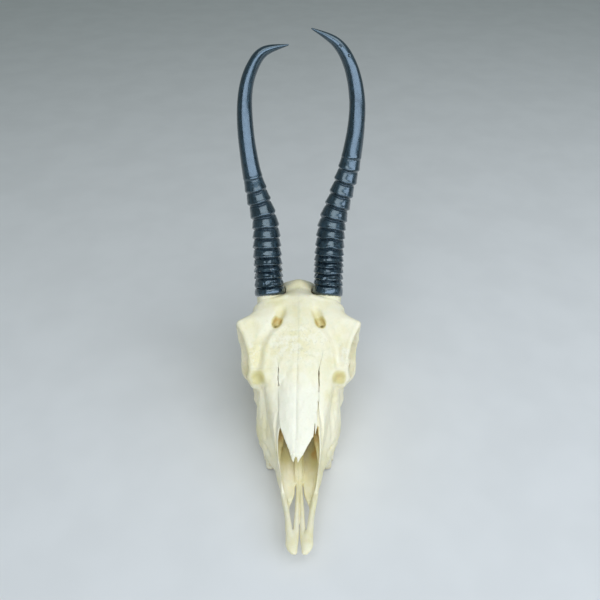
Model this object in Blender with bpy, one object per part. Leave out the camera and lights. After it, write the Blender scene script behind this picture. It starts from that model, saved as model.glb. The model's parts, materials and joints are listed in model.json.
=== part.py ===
# Skull of a young springbok ram without its lower jaw, life size, lying as it rests on its cheek
# teeth and on the two processes behind its ears, with the horn sheaths on.
#
# Places on the skull are given in millimetres as (across, back, up): across from the midline,
# positive to the animal's left, back from the muzzle tip, and up from the floor.

import math

import bmesh
import bpy
from mathutils import Matrix, Vector

MM = 0.001
SIDES = {"right": -1, "left": 1}

# Driving sizes.
TOTAL_BACK = 264.0  # muzzle tip to the rearmost point of the horns
SEAM = 0.3  # gap left where two bones or a bone and a horn meet
BONE_BLEND = 1.2  # grain at which the cranium's forms melt into one surface
BONE_TRIANGLES = 5600  # how many triangles the cranium is thinned to before it is cut up
ROUND = 28  # points round a bone's cross-section
ROD_ROUND = 10  # points round a thin rod of bone

# Cheek teeth.
TOOTH_ROW_START = 77.0
GUM_UP = 11.0  # where the crowns leave the bone
TOOTH_ROOT_UP = 17.0

# Eye sockets.
SOCKET_CENTRE = (42.0, 131.4, 65.2)
SOCKET_RADII = (27.0, 16.0, 16.4)

# Horns.
HORN_ROUND = 14
RINGS = 15
RING_SHARE = 0.60  # share of the horn's length that carries rings
RING_SPREAD = 1.14  # above 1, the rings stand further apart higher up
RING_HEIGHT = 0.9
SMOOTH_SECTIONS = 12  # cross-sections along the smooth upper part
HORN_DEPTH = 1.14  # depth fore and aft at the base, as a share of the width
SEAT_MARGIN = 0.6  # how far the seat of a horn is cleared round the sheath


def clear_scene():
    for obj in list(bpy.data.objects):
        bpy.data.objects.remove(obj, do_unlink=True)


def place(across, back, up):
    return Vector((across, back - TOTAL_BACK / 2, up)) * MM


def finish_material(name, colour, roughness):
    material = bpy.data.materials.new(name)
    material.use_nodes = True
    shader = material.node_tree.nodes["Principled BSDF"]
    shader.inputs["Base Color"].default_value = (*colour, 1.0)
    shader.inputs["Roughness"].default_value = roughness
    shader.inputs["Metallic"].default_value = 0.0
    material.diffuse_color = (*colour, 1.0)
    return material


def add_object(name, bm, collection=None):
    bmesh.ops.recalc_face_normals(bm, faces=bm.faces)
    mesh = bpy.data.meshes.new(name)
    bm.to_mesh(mesh)
    bm.free()
    obj = bpy.data.objects.new(name, mesh)
    (collection or bpy.context.scene.collection).objects.link(obj)
    return obj


def in_between(stations, steps):
    """A smooth run of stations: each span is cut into steps along a Catmull-Rom curve."""
    run = []
    last = len(stations) - 1
    for i in range(last):
        before = stations[max(i - 1, 0)]
        start, end = stations[i], stations[i + 1]
        after = stations[min(i + 2, last)]
        for step in range(steps):
            t = step / steps
            weights = (
                0.5 * (-t + 2 * t**2 - t**3),
                0.5 * (2 - 5 * t**2 + 3 * t**3),
                0.5 * (t + 4 * t**2 - 3 * t**3),
                0.5 * (t**3 - t**2),
            )
            spans = zip(before, start, end, after)
            run.append(tuple(sum(w * value for w, value in zip(weights, span)) for span in spans))
    run.append(tuple(float(value) for value in stations[last]))
    return run


def bridge(bm, rings):
    """Sides between neighbouring rings of points, and a cap at each end."""
    loops = [[bm.verts.new(point) for point in ring] for ring in rings]
    for first, second in zip(loops, loops[1:]):
        count = len(first)
        for i in range(count):
            j = (i + 1) % count
            bm.faces.new((first[i], first[j], second[j], second[i]))
    bm.faces.new(reversed(loops[0]))
    bm.faces.new(loops[-1])


def signed_power(value, power):
    return math.copysign(abs(value) ** power, value)


def body(name, stations, steps=3, count=ROUND, collection=None):
    """A bone form lofted from front to back, alike on both sides of the midline.

    Each station is (back, top, bottom, half width, height of the widest line, roof, floor), where
    roof and floor say how full the upper and lower half are: 2 is an ellipse, more is boxier.
    """
    rings = []
    for back, top, bottom, half, widest, roof, floor in in_between(stations, steps):
        ring = []
        for i in range(count):
            angle = 2 * math.pi * (i + 0.5) / count
            fullness, reach = (roof, top - widest) if math.sin(angle) > 0 else (floor, widest - bottom)
            across = half * signed_power(math.cos(angle), 2 / fullness)
            up = widest + reach * signed_power(math.sin(angle), 2 / fullness)
            ring.append(place(across, back, up))
        rings.append(ring)
    bm = bmesh.new()
    bridge(bm, rings)
    return add_object(name, bm, collection)


def rod_rings(stations, side, hint, steps, count):
    """Elliptical rings along a curved path of (across, back, up, half width, half height)."""
    run = in_between(stations, steps)
    path = [place(side * across, back, up) for across, back, up, _, _ in run]
    rings = []
    for i, (centre, station) in enumerate(zip(path, run)):
        along = (path[min(i + 1, len(path) - 1)] - path[max(i - 1, 0)]).normalized()
        wide = along.cross(hint).normalized()
        high = wide.cross(along)
        half_wide, half_high = station[3] * MM, station[4] * MM
        rings.append(
            [
                centre
                + wide * (half_wide * math.cos(2 * math.pi * k / count))
                + high * (half_high * math.sin(2 * math.pi * k / count))
                for k in range(count)
            ]
        )
    return rings


def rod(name, stations, side=1, hint=(0, 0, 1), steps=3, count=ROD_ROUND, collection=None):
    bm = bmesh.new()
    bridge(bm, rod_rings(stations, side, Vector(hint), steps, count))
    return add_object(name, bm, collection)


def egg(name, centre, radii, side=1, turn=(0, 0), collection=None, fine=1):
    """An egg, nodded by turn[0] degrees about the line across and swung by turn[1] about the upright."""
    bm = bmesh.new()
    bmesh.ops.create_uvsphere(bm, u_segments=20 * fine, v_segments=12 * fine, radius=1.0)
    across, back, up = centre
    nod = Matrix.Rotation(math.radians(turn[0]), 4, "X")
    swing = Matrix.Rotation(math.radians(side * turn[1]), 4, "Z")
    size = Matrix.Diagonal((*[radius * MM for radius in radii], 1.0))
    move = Matrix.Translation(place(side * across, back, up))
    bmesh.ops.transform(bm, matrix=move @ nod @ swing @ size, verts=bm.verts)
    return add_object(name, bm, collection)


def prism(name, outline, low, high, side=1, collection=None):
    """A block with a top-view outline of (across, back) points, from one height to another."""
    rings = [[place(side * across, back, up) for across, back in outline] for up in (low, high)]
    bm = bmesh.new()
    bridge(bm, rings)
    return add_object(name, bm, collection)


def slab_behind(name, front_low, front_high, collection=None):
    """A block that holds everything behind the plane through two (back, up) points."""
    (low_back, low_up), (high_back, high_up) = front_low, front_high
    slope = (high_back - low_back) / (high_up - low_up)
    floor_up, roof_up, far = -30.0, 150.0, 330.0
    profile = [
        (low_back + slope * (floor_up - low_up), floor_up),
        (low_back + slope * (roof_up - low_up), roof_up),
        (far, roof_up),
        (far, floor_up),
    ]
    rings = [[place(across, back, up) for back, up in profile] for across in (-80.0, 80.0)]
    bm = bmesh.new()
    bridge(bm, rings)
    return add_object(name, bm, collection)


def settle(obj):
    """Makes the evaluated mesh the object's own and drops its modifiers."""
    bpy.context.view_layer.update()
    graph = bpy.context.evaluated_depsgraph_get()
    mesh = bpy.data.meshes.new_from_object(obj.evaluated_get(graph))
    obj.modifiers.clear()
    obj.data = mesh
    return obj


def combine(obj, others, operation):
    """Joins or cuts an object with a list of closed objects, which are then removed."""
    helpers = bpy.data.collections.new(obj.name + "_" + operation.lower())
    bpy.context.scene.collection.children.link(helpers)
    for other in others:
        for owner in list(other.users_collection):
            owner.objects.unlink(other)
        helpers.objects.link(other)
    modifier = obj.modifiers.new(operation.title(), "BOOLEAN")
    modifier.operation = operation
    modifier.operand_type = "COLLECTION"
    modifier.collection = helpers
    modifier.solver = "EXACT"
    settle(obj)
    for other in others:
        bpy.data.objects.remove(other, do_unlink=True)
    bpy.data.collections.remove(helpers)
    return obj


def copy_of(obj, name):
    twin = bpy.data.objects.new(name, obj.data.copy())
    bpy.context.scene.collection.objects.link(twin)
    return twin


def keep_largest(obj):
    """Drops every loose scrap, so that one closed surface is left."""
    bm = bmesh.new()
    bm.from_mesh(obj.data)
    unseen = set(bm.verts)
    groups = []
    while unseen:
        edge_of_growth = [unseen.pop()]
        group = set(edge_of_growth)
        while edge_of_growth:
            for edge in edge_of_growth.pop().link_edges:
                for vert in edge.verts:
                    if vert in unseen:
                        unseen.discard(vert)
                        group.add(vert)
                        edge_of_growth.append(vert)
        groups.append(group)
    groups.sort(key=len, reverse=True)
    for group in groups[1:]:
        bmesh.ops.delete(bm, geom=list(group), context="VERTS")
    bm.to_mesh(obj.data)
    bm.free()
    return obj


def shade(obj, material, crease_degrees=40):
    obj.data.materials.clear()
    obj.data.materials.append(material)
    obj.data.shade_smooth()
    obj.data.set_sharp_from_angle(angle=math.radians(crease_degrees))
    return obj


# Cranium. All forms overlap and are melted into one surface.


def face_form():
    return body(
        "face",
        [
            (44, 28, 15.2, 12.6, 20, 2.0, 2.4),
            (52, 36, 14.8, 14.7, 20.3, 1.8, 2.6),
            (58, 41, 14.4, 16.2, 20.6, 1.7, 2.8),
            (64, 45, 13.5, 17.8, 21, 1.6, 3.2),
            (76, 55, 10.5, 24.5, 22, 1.5, 4.5),
            (84, 60, 10.5, 28.6, 26, 1.5, 4.5),
            (92, 65, 10.5, 31.6, 30, 1.5, 4.5),
            (100, 69, 10.5, 33.4, 35, 1.6, 4.5),
            (106, 72.5, 10.5, 33.0, 42, 2.1, 4.5),
            (110, 75, 10.5, 33.0, 47, 2.8, 4.5),
            (114, 77, 10.5, 33.6, 52, 3.2, 4.0),
            (118, 78, 10.5, 35.4, 53, 3.2, 3.6),
            (123, 72, 10.5, 34.0, 46, 2.6, 3.6),
            (131, 50, 10.5, 31.5, 32, 2.0, 3.6),
            (141, 40, 13.0, 27.5, 28, 2.0, 3.0),
        ],
    )


def nose_roof_form():
    return body(
        "nose_roof",
        [
            (44, 36.0, 15, 10.4, 22, 2.6, 2.0),
            (52, 42.0, 15, 13.2, 26, 2.8, 2.0),
            (63, 50.6, 17, 16.0, 34, 3.0, 2.0),
            (76, 59.0, 22, 17.0, 42, 3.0, 2.0),
            (90, 66.2, 30, 17.2, 50, 2.8, 2.0),
            (104, 73.8, 40, 18.5, 60, 2.5, 2.0),
            (118, 82.2, 50, 22.0, 69, 2.4, 2.0),
            (130, 89.6, 54, 24.0, 77, 2.3, 2.0),
        ],
    )


def brow_form():
    return body(
        "brow",
        [
            (100, 69.5, 58, 19.5, 62, 2.2, 2.0),
            (106, 74.3, 62, 27.0, 68.5, 2.3, 2.0),
            (112, 78.2, 66, 33.6, 73.5, 2.4, 1.8),
            (119, 82.8, 70, 36.6, 79, 2.5, 1.7),
            (128, 88.7, 75, 39.8, 84.5, 2.6, 1.6),
            (136, 93.6, 79, 43.2, 88.5, 2.7, 1.5),
            (141, 96.5, 81, 46.4, 91.5, 2.7, 1.5),
            (144.5, 98.4, 82.5, 47.8, 93.5, 2.7, 1.5),
            (147, 99.7, 82.5, 45.0, 94.5, 2.6, 1.6),
            (150, 101.2, 81, 40.8, 95, 2.5, 1.7),
            (154, 103.2, 79, 37.8, 95, 2.4, 1.8),
            (161, 106.0, 74, 35.6, 93, 2.3, 1.9),
            (165, 106.5, 70, 32.0, 89, 2.0, 2.0),
            (169, 106.0, 69, 25.0, 86, 1.8, 2.0),
            (174, 105.6, 68, 20.0, 84, 1.8, 2.0),
            (180, 106.6, 64, 22.0, 82, 1.9, 2.0),
            (185, 105.4, 62, 24.0, 79, 2.0, 2.0),
            (192, 99.6, 60, 25.0, 75, 2.1, 2.0),
            (200, 88.0, 56, 21.5, 70, 2.2, 2.0),
        ],
    )


def core_form():
    """The wall between the eye sockets, from the face back to the braincase."""
    return body(
        "core",
        [
            (98, 66, 16, 24.0, 40, 2, 2),
            (110, 74, 17, 25.0, 42, 2, 2),
            (120, 80, 20, 20.5, 50, 2, 2),
            (132, 88, 26, 16.0, 58, 2, 2),
            (144, 96, 32, 17.5, 66, 2, 2),
            (154, 101, 36, 22.0, 70, 2, 2),
        ],
    )


def braincase_form():
    return body(
        "braincase_form",
        [
            (146, 97, 40, 20.0, 70, 2.1, 2.1),
            (154, 101, 40, 25.5, 70, 2.1, 2.1),
            (163, 105, 38, 29.5, 70, 2.1, 2.2),
            (174, 106, 36, 31.5, 68, 2.1, 2.2),
            (185, 103, 34, 31.5, 65, 2.1, 2.2),
            (195, 95, 33, 29.0, 61, 2.1, 2.2),
            (203, 83, 33, 24.5, 56, 2.1, 2.2),
            (208, 70, 34, 18.0, 52, 2.1, 2.1),
        ],
    )


def base_form():
    """The keel under the braincase, between the ear capsules."""
    stations = [(0, 136, 38, 8, 12), (0, 155, 37, 9.5, 8), (0, 180, 33, 9, 6.5), (0, 206, 36, 12, 6)]
    return rod("base", stations)


def crest_form():
    """The ridge across the back of the head, where the neck muscles end."""
    stations = [
        (-25, 192, 58, 3, 5),
        (-19, 200, 72, 3, 5.5),
        (0, 204.5, 81, 3, 5.5),
        (19, 200, 72, 3, 5.5),
        (25, 192, 58, 3, 5),
    ]
    return rod("nuchal_crest", stations, hint=(0, 1, 0), steps=4)


def side_forms(side):
    """What a skull has on each side: cheek arch, eye rim, ear capsule, condyle and horn root."""
    across = (0, 0, 1)
    upright = (0, 1, 0)
    return [
        rod(
            "cheek_arch",
            [
                (26.0, 113.5, 47, 4.0, 7.0),
                (31.4, 119.0, 49, 4.0, 7.0),
                (37.4, 126.0, 49, 3.4, 6.5),
                (42.2, 135, 47.5, 3.0, 6.0),
                (43.4, 145, 47, 3.0, 5.8),
                (42.5, 156, 48, 2.4, 4.0),
                (40.5, 168, 49, 2.4, 4.2),
                (36.0, 180, 50, 4.0, 5.0),
                (28.0, 187, 51, 5.0, 6.0),
            ],
            side,
            across,
            steps=3,
        ),
        rod(
            "eye_rim_back",
            [
                (43.4, 144, 93, 3.6, 3.4),
                (43.6, 148.5, 84, 3.8, 2.6),
                (43.2, 149.6, 72, 3.8, 2.4),
                (43.0, 148.0, 60, 3.4, 3.0),
                (43.0, 144.5, 49, 3.2, 5.0),
            ],
            side,
            upright,
        ),
        rod(
            "eye_rim_front",
            [
                (39.0, 127, 48, 3.4, 4.0),
                (37.2, 121.5, 53, 3.6, 4.0),
                (37.4, 116.4, 60, 3.4, 3.8),
                (36.8, 112.6, 67, 3.2, 3.4),
                (34.8, 113.5, 73.5, 3.0, 3.0),
                (36.6, 120.5, 79.0, 2.2, 2.6),
            ],
            side,
            upright,
        ),
        egg("ear_capsule", (16.5, 182.0, 27.0), (8.0, 13.5, 10.5), side, (-8, -12)),
        egg("jaw_socket", (31.0, 177, 51), (10, 10, 6), side),
        rod(
            "ear_tube",
            [(20, 184, 36, 6, 6), (29, 187, 42, 5, 5), (34.5, 189, 46, 4.2, 4.6)],
            side,
            upright,
        ),
        rod(
            "neck_process",
            [
                (24.0, 198, 50, 6.0, 5.0),
                (24.5, 200, 34, 5.0, 4.0),
                (23.5, 200, 18, 3.6, 3.0),
                (22.5, 199, 6, 2.8, 2.4),
                (22.3, 199, 0, 2.4, 2.2),
            ],
            side,
            upright,
        ),
        egg("condyle", (11.0, 207, 38), (8.5, 7.0, 11.5), side, (0, 24)),
        rod(
            "palate_wing",
            [(10.5, 134, 26, 2.0, 9), (10.0, 148, 30, 1.8, 9), (8.5, 164, 35, 2.0, 8)],
            side,
            across,
        ),
        rod("horn_root", horn_root_stations(), side, (1, 0, 0)),
    ]


def from_horn_base(distance):
    """A place this far up the horn's axis from the middle of its base, on the animal's left."""
    across, back, up, _ = HORN_STATIONS["left"][0]
    aim = Vector(HORN_BASE_AIM).normalized() * distance
    return across + aim.x, back + aim.y, up + aim.z


def horn_root_stations():
    half = HORN_STATIONS["left"][0][3]
    deep = half * HORN_DEPTH
    return [
        (*from_horn_base(-22), deep, half),
        (*from_horn_base(-10), deep - 0.8, half - 0.9),
        (*from_horn_base(3), deep - 1.0, half - 1.1),
    ]


def horn_seat(side):
    """Clears the bone at a sheath's base, one seam below it."""
    half = HORN_STATIONS["left"][0][3] + SEAT_MARGIN
    stations = [(*from_horn_base(distance), half * HORN_DEPTH, half) for distance in (-SEAM, 14)]
    return rod("horn_seat", stations, side, (1, 0, 0), steps=1, count=24)


def cranium_cutters():
    cutters = [
        body(
            "nose_passage",
            [
                (38, 60, 18.8, 7.6, 40, 2.4, 2.6),
                (46, 60, 19.2, 8.6, 40, 2.4, 2.6),
                (52, 60, 19.6, 11.2, 40, 2.4, 2.6),
                (63, 62, 20.0, 14.0, 40, 2.6, 2.6),
                (76, 62, 20.5, 14.8, 42, 2.6, 2.4),
                (84, 58, 21.0, 13.8, 42, 2.4, 2.2),
                (98, 64, 22.0, 12.5, 46, 2.4, 2.2),
                (112, 68, 26.0, 10.0, 50, 2.2, 2.0),
                (122, 64, 36.0, 5.0, 52, 2.0, 2.0),
            ],
        ),
        body(
            "palate_vault",
            [
                (48, 15.5, -6, 9.0, 6, 2.0, 2),
                (64, 16.0, -6, 10.0, 6, 2.2, 2),
                (80, 17.5, -6, 13.5, 6, 2.4, 2),
                (100, 18.5, -6, 15.5, 6, 2.4, 2),
                (125, 18.5, -6, 16.5, 6, 2.4, 2),
                (150, 20.0, -6, 16.5, 6, 2.4, 2),
            ],
        ),
        rod("throat_opening", [(0, 124, 31, 7, 7), (0, 140, 30, 7.5, 9), (0, 160, 24, 7, 9)]),
        egg("brain_opening", (0, 211, 50), (9.5, 12, 9.0)),
    ]
    for side in SIDES.values():
        cutters += [
            egg("socket", SOCKET_CENTRE, SOCKET_RADII, side, (0, 14), fine=2),
            egg("ear_hole", (35.0, 189.0, 46.5), (6.0, 2.4, 2.4), side),
            egg("brow_pit", (14.8, 144.0, 98.6), (4.2, 7.2, 5.4), side, (28, 33)),
            rod("brow_hole", [(17.0, 140.5, 98, 1.7, 2.0), (17.4, 142.5, 90, 1.5, 1.8)], side, (0, 1, 0)),
            egg("tear_pit", (35.6, 107.5, 66.0), (4.6, 4.8, 6.6), side),
        ]
    return cutters


def aperture_cutter():
    """Takes the side walls back to the slanting margin of the nose opening."""
    profile = [(30, 21), (43, 21), (47, 24.5), (52, 30), (63, 42), (76.5, 55.5), (76.5, 90), (30, 90)]
    rings = [[place(across, back, up) for back, up in profile] for across in (-40.0, 40.0)]
    bm = bmesh.new()
    bridge(bm, rings)
    return add_object("aperture", bm)


def make_cranium():
    forms = [nose_roof_form(), brow_form(), core_form(), braincase_form(), base_form(), crest_form()]
    for side in SIDES.values():
        forms += side_forms(side)
    cranium = combine(face_form(), forms, "UNION")
    combine(cranium, cranium_cutters() + [aperture_cutter()], "DIFFERENCE")
    melt = cranium.modifiers.new("Melt", "REMESH")
    melt.mode = "VOXEL"
    melt.voxel_size = BONE_BLEND * MM
    smooth = cranium.modifiers.new("Smooth", "SMOOTH")
    smooth.factor = 0.5
    smooth.iterations = 5
    settle(cranium)
    keep_largest(cranium)
    thin_out = cranium.modifiers.new("Thin out", "DECIMATE")
    thin_out.ratio = BONE_TRIANGLES / (2 * len(cranium.data.polygons))
    thin_out.use_collapse_triangulate = True
    return settle(cranium)


# Nasal bones. Each is a thin arched plate that tapers to a free tip over the nose opening.

NASAL_THICK = 2.3
NASAL_STATIONS = [  # back, height at the midline, inner edge, outer edge, sideways lean
    (52.2, 46.4, 1.2, 2.0, -2.5),
    (54.0, 47.4, 0.6, 3.2, -2.2),
    (57.0, 48.8, 0.0, 4.9, -1.7),
    (63.0, 52.2, 0.0, 8.0, -0.9),
    (70.0, 56.0, 0.0, 11.4, -0.3),
    (76.0, 59.3, 0.0, 13.9, 0.0),
    (80.0, 61.4, 0.0, 14.5, 0.0),
    (90.0, 66.4, 0.0, 14.8, 0.0),
    (102.0, 73.0, 0.0, 15.4, 0.0),
    (112.0, 78.7, 0.0, 15.2, 0.0),
    (117.0, 81.6, 0.0, 13.0, 0.0),
    (120.5, 83.8, 0.0, 8.6, 0.0),
    (122.5, 85.0, 0.0, 3.6, 0.0),
]
NASAL_ARCH = 3.4  # how much lower the outer edge is where the plate is 15 wide
NASAL_LANES = 4


def nasal_plate(name, side, grow=0.0):
    """One nasal bone, or with grow the larger block that clears its place on the skull."""
    rings = []
    for back, up, inner, outer, lean in in_between(NASAL_STATIONS, 2):
        near = max(inner, 0.0) + SEAM / 2 - 2 * grow
        far = max(outer, near + 0.6) + grow
        top, under = [], []
        for lane in range(NASAL_LANES + 1):
            across = near + (far - near) * lane / NASAL_LANES
            height = up - NASAL_ARCH * (across / 15.0) ** 2
            top.append(place(side * across + lean, back, height + 5 * grow))
            under.append(place(side * across + lean, back, height - NASAL_THICK - grow))
        rings.append(top + under[::-1])
    if grow:
        ahead, behind = Vector((0, -grow * MM, 0)), Vector((0, grow * MM, 0))
        rings[0] = [point + ahead for point in rings[0]]
        rings[-1] = [point + behind for point in rings[-1]]
    bm = bmesh.new()
    bridge(bm, rings)
    return add_object(name, bm)


# Premaxillae. Each has a prong, a rod along the midline and, cut from the cranium, a rising limb.

PLATE_OUTLINE = [(1.0, 13.0), (5.0, 13.0), (7.6, 27.0), (10.0, 40.0), (11.6, 53.0), (1.0, 53.0)]
PALATE_SLOT = [
    *[(1.6, 53.4), (2.4, 52.8), (3.2, 49.5), (3.7, 45.0), (5.0, 39.5)],
    *[(6.3, 35.0), (6.1, 30.0), (5.3, 24.0), (4.4, 18.0), (3.9, 16.0)],
    *[(3.5, 20.0), (3.1, 28.0), (2.8, 36.0), (2.1, 44.0), (1.6, 50.0)],
]
PLATE_RISE = 0.05  # how fast the roof of the mouth climbs towards the back


def sloped_plate(name, outline, low, high, side):
    """A plate with a top-view outline of (across, back) points that climbs towards the back."""
    rings = []
    for up in (low, high):
        rings.append([place(side * across, back, up + PLATE_RISE * back) for across, back in outline])
    bm = bmesh.new()
    bridge(bm, rings)
    return add_object(name, bm)


def prong(side):
    outer = rod(
        "prong",
        [
            (4.2, 0.0, 15.6, 1.2, 0.9),
            (4.4, 1.4, 15.6, 2.6, 1.6),
            (4.8, 5.0, 15.7, 3.8, 2.2),
            (4.9, 10.0, 15.9, 4.0, 2.6),
            (6.4, 17.0, 16.4, 3.1, 2.8),
            (8.0, 26.0, 17.3, 2.2, 3.2),
            (9.9, 36.0, 18.6, 2.2, 3.9),
            (11.2, 44.0, 20.2, 2.4, 4.8),
            (11.9, 50.0, 21.6, 2.4, 5.8),
        ],
        side,
        steps=2,
    )
    inner = rod(
        "midline_rod",
        [
            (3.2, 8.0, 15.8, 2.0, 1.7),
            (2.0, 16.0, 16.2, 1.75, 1.6),
            (1.6, 30.0, 17.0, 1.4, 1.6),
            (1.3, 42.0, 17.6, 1.1, 1.7),
            (1.2, 52.0, 18.0, 1.0, 1.8),
        ],
        side,
        steps=2,
    )
    plate = sloped_plate("floor_plate", PLATE_OUTLINE, 15.0, 17.0, side)
    combine(outer, [inner, plate], "UNION")
    return combine(outer, [sloped_plate("palate_slot", PALATE_SLOT, 4.0, 28.0, side)], "DIFFERENCE")


# Cheek teeth. Premolars have one lobe and molars two, each a column with a worn flat end.

TEETH = [  # length, width, lobes
    (7.6, 8.0, 1),
    (8.6, 9.6, 1),
    (8.6, 10.8, 1),
    (11.4, 12.6, 2),
    (13.0, 13.4, 2),
    (13.2, 12.6, 2),
]
TOOTH_PRESS = 0.35  # neighbouring crowns press this far into each other
LOBE_OVERLAP = 1.10  # how far each lobe reaches into the next, as a share of its length
CUSP_HEIGHT = 2.2
ROW_OUTER_EDGE = [(77, 24.4), (92, 28.2), (108, 30.6), (124, 31.0), (140, 29.4)]


def row_edge(back):
    """Where the outer wall of the tooth row stands at this distance from the muzzle tip."""
    for (start, first), (end, second) in zip(ROW_OUTER_EDGE, ROW_OUTER_EDGE[1:]):
        if back <= end:
            return first + (second - first) * (back - start) / (end - start)
    return ROW_OUTER_EDGE[-1][1]


def tooth_lobe(side, back, length, width):
    """A crown column with a ribbed outer wall, worn to a cusp with a small flat."""
    middle = row_edge(back) - width / 2
    cheek_wall = [(0.0, 0.47), (0.06, 0.16), (0.06, -0.16), (0.0, -0.47)]
    tongue_wall = [(0.5, -0.52), (1.0, -0.24), (1.0, 0.24), (0.5, 0.52)]
    sections = (  # up, share of the width, share of the length
        (TOOTH_ROOT_UP, 0.88, 0.84),
        (GUM_UP, 0.92, 0.90),
        (GUM_UP / 2, 1.0, 1.0),
        (CUSP_HEIGHT, 1.0, 1.0),
        (0.0, 0.72, 0.36),
    )
    rings = []
    for up, wide, long in sections:
        ring = []
        for inward, along in cheek_wall + tongue_wall:
            across = middle + (0.5 - inward) * width * wide
            ring.append(place(side * across, back + along * length * long, up))
        rings.append(ring)
    bm = bmesh.new()
    bridge(bm, rings)
    return add_object("tooth_lobe", bm)


def make_teeth(side):
    lobes = []
    back = TOOTH_ROW_START
    for length, width, count in TEETH:
        lobe_length = length / count
        for lobe in range(count):
            centre = back + (lobe + 0.5) * lobe_length
            lobes.append(tooth_lobe(side, centre, lobe_length * LOBE_OVERLAP, width))
        back += length - TOOTH_PRESS
    return lobes


# Horns. Each sheath follows its own curve, ringed low down and smooth towards the hooked tip.

HORN_BASE_AIM = (0.10, 0.61, 0.785)
HORN_STATIONS = {  # across, back, up, half width
    "right": [
        (-22.8, 174.0, 98.0, 12.2),
        (-23.8, 181.0, 107.1, 10.9),
        (-25.2, 194.2, 125.8, 10.8),
        (-26.6, 206.5, 144.9, 10.2),
        (-32.4, 217.4, 163.5, 8.8),
        (-38.2, 229.0, 186.5, 7.0),
        (-41.3, 242.2, 215.6, 6.2),
        (-40.1, 249.8, 235.5, 5.4),
        (-34.8, 255.6, 251.2, 4.7),
        (-25.6, 259.4, 261.4, 3.7),
        (-7.3, 261.0, 265.8, 0.5),
    ],
    "left": [
        (22.8, 174.0, 98.0, 12.2),
        (23.8, 181.0, 107.1, 11.2),
        (24.4, 194.2, 125.8, 11.2),
        (26.8, 206.5, 144.9, 10.6),
        (33.0, 217.4, 163.5, 9.0),
        (40.2, 229.0, 186.5, 8.0),
        (44.6, 242.2, 215.6, 6.4),
        (43.6, 249.8, 235.5, 5.8),
        (38.0, 256.4, 254.0, 5.0),
        (27.6, 260.8, 267.4, 3.8),
        (9.3, 263.6, 276.5, 0.5),
    ],
}


def horn_sections():
    """(share of the length, relief) of each cross-section: a hollow and a crest for every ring."""
    sections = []
    for ring in range(RINGS):
        fade = min(1.0, 2.4 * (1 - ring / RINGS))
        for place_in_ring, relief in ((0.0, -0.5), (0.3, 0.35), (0.7, 0.5)):
            share = RING_SHARE * ((ring + place_in_ring) / RINGS) ** RING_SPREAD
            sections.append((share, relief * fade * RING_HEIGHT))
    for i in range(SMOOTH_SECTIONS + 1):
        sections.append((RING_SHARE + (1 - RING_SHARE) * i / SMOOTH_SECTIONS, 0.0))
    return sections


def station_at(run, lengths, share):
    """The station this share of the way along a run, by distance along the curve."""
    target = share * lengths[-1]
    for i in range(1, len(run)):
        if lengths[i] >= target:
            t = (target - lengths[i - 1]) / (lengths[i] - lengths[i - 1])
            return [a + (b - a) * t for a, b in zip(run[i - 1], run[i])]
    return list(run[-1])


def make_horn(name, stations):
    run = in_between(stations, 12)
    lengths = [0.0]
    for here, there in zip(run, run[1:]):
        lengths.append(lengths[-1] + math.dist(here[:3], there[:3]))
    sections = horn_sections()
    picked = [station_at(run, lengths, share) for share, _ in sections]
    path = [place(*station[:3]) for station in picked]
    last = len(path) - 1
    wide = Vector((1, 0, 0))
    rings = []
    for i, (centre, station) in enumerate(zip(path, picked)):
        if i == 0:
            along = Vector(HORN_BASE_AIM)
            along.x *= math.copysign(1, station[0])
        else:
            along = path[min(i + 1, last)] - path[i - 1]
        along.normalize()
        wide = (wide - along * wide.dot(along)).normalized()
        high = wide.cross(along)
        share, relief = sections[i]
        half_wide = max(station[3] + relief, 0.45) * MM
        half_high = half_wide * (HORN_DEPTH + (1 - HORN_DEPTH) * share)
        rings.append(
            [
                centre
                + wide * (half_wide * math.cos(2 * math.pi * k / HORN_ROUND))
                + high * (half_high * math.sin(2 * math.pi * k / HORN_ROUND))
                for k in range(HORN_ROUND)
            ]
        )
    bm = bmesh.new()
    bridge(bm, rings)
    return add_object(name, bm)


# Parting the cranium along its seams.

MUZZLE_SEAM = ((49.0, 14.0), (85.0, 56.0))  # (back, up) at two heights: premaxillae ahead of it
FACE_SEAM = ((146.0, 10.0), (105.0, 92.0))  # face bones ahead of it
CROWN_SEAM = ((142.0, 52.0), (187.0, 104.0))  # brow bones above and ahead, braincase below
CHEEK_INNER = 34.5  # how far across the cheekbone starts
CHEEK_PROFILE = [
    *[(113, 43), (113, 52), (119, 55), (138, 66)],
    *[(156, 73), (172, 66), (172, 30), (126, 34)],
]


def cheek_block(name, side, grow):
    middle_back, middle_up = 140.0, 50.0
    profile = []
    for back, up in CHEEK_PROFILE:
        outward = math.copysign(grow, back - middle_back), math.copysign(grow, up - middle_up)
        profile.append((back + outward[0], up + outward[1]))
    rings = []
    for across in (CHEEK_INNER - grow, 70.0):
        rings.append([place(side * across, back, up) for back, up in profile])
    bm = bmesh.new()
    bridge(bm, rings)
    return add_object(name, bm)


def half_space(name, side):
    """Everything on one side of the midline, half a seam clear of it."""
    outline = [(SEAM / 2, -20.0), (90.0, -20.0), (90.0, 330.0), (SEAM / 2, 330.0)]
    return prism(name, outline, -30.0, 170.0, side)


def shifted(seam, amount):
    return tuple((back + amount, up) for back, up in seam)


def take(whole, name, region):
    piece = copy_of(whole, name)
    combine(piece, [region], "INTERSECT")
    return keep_largest(piece)


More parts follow.
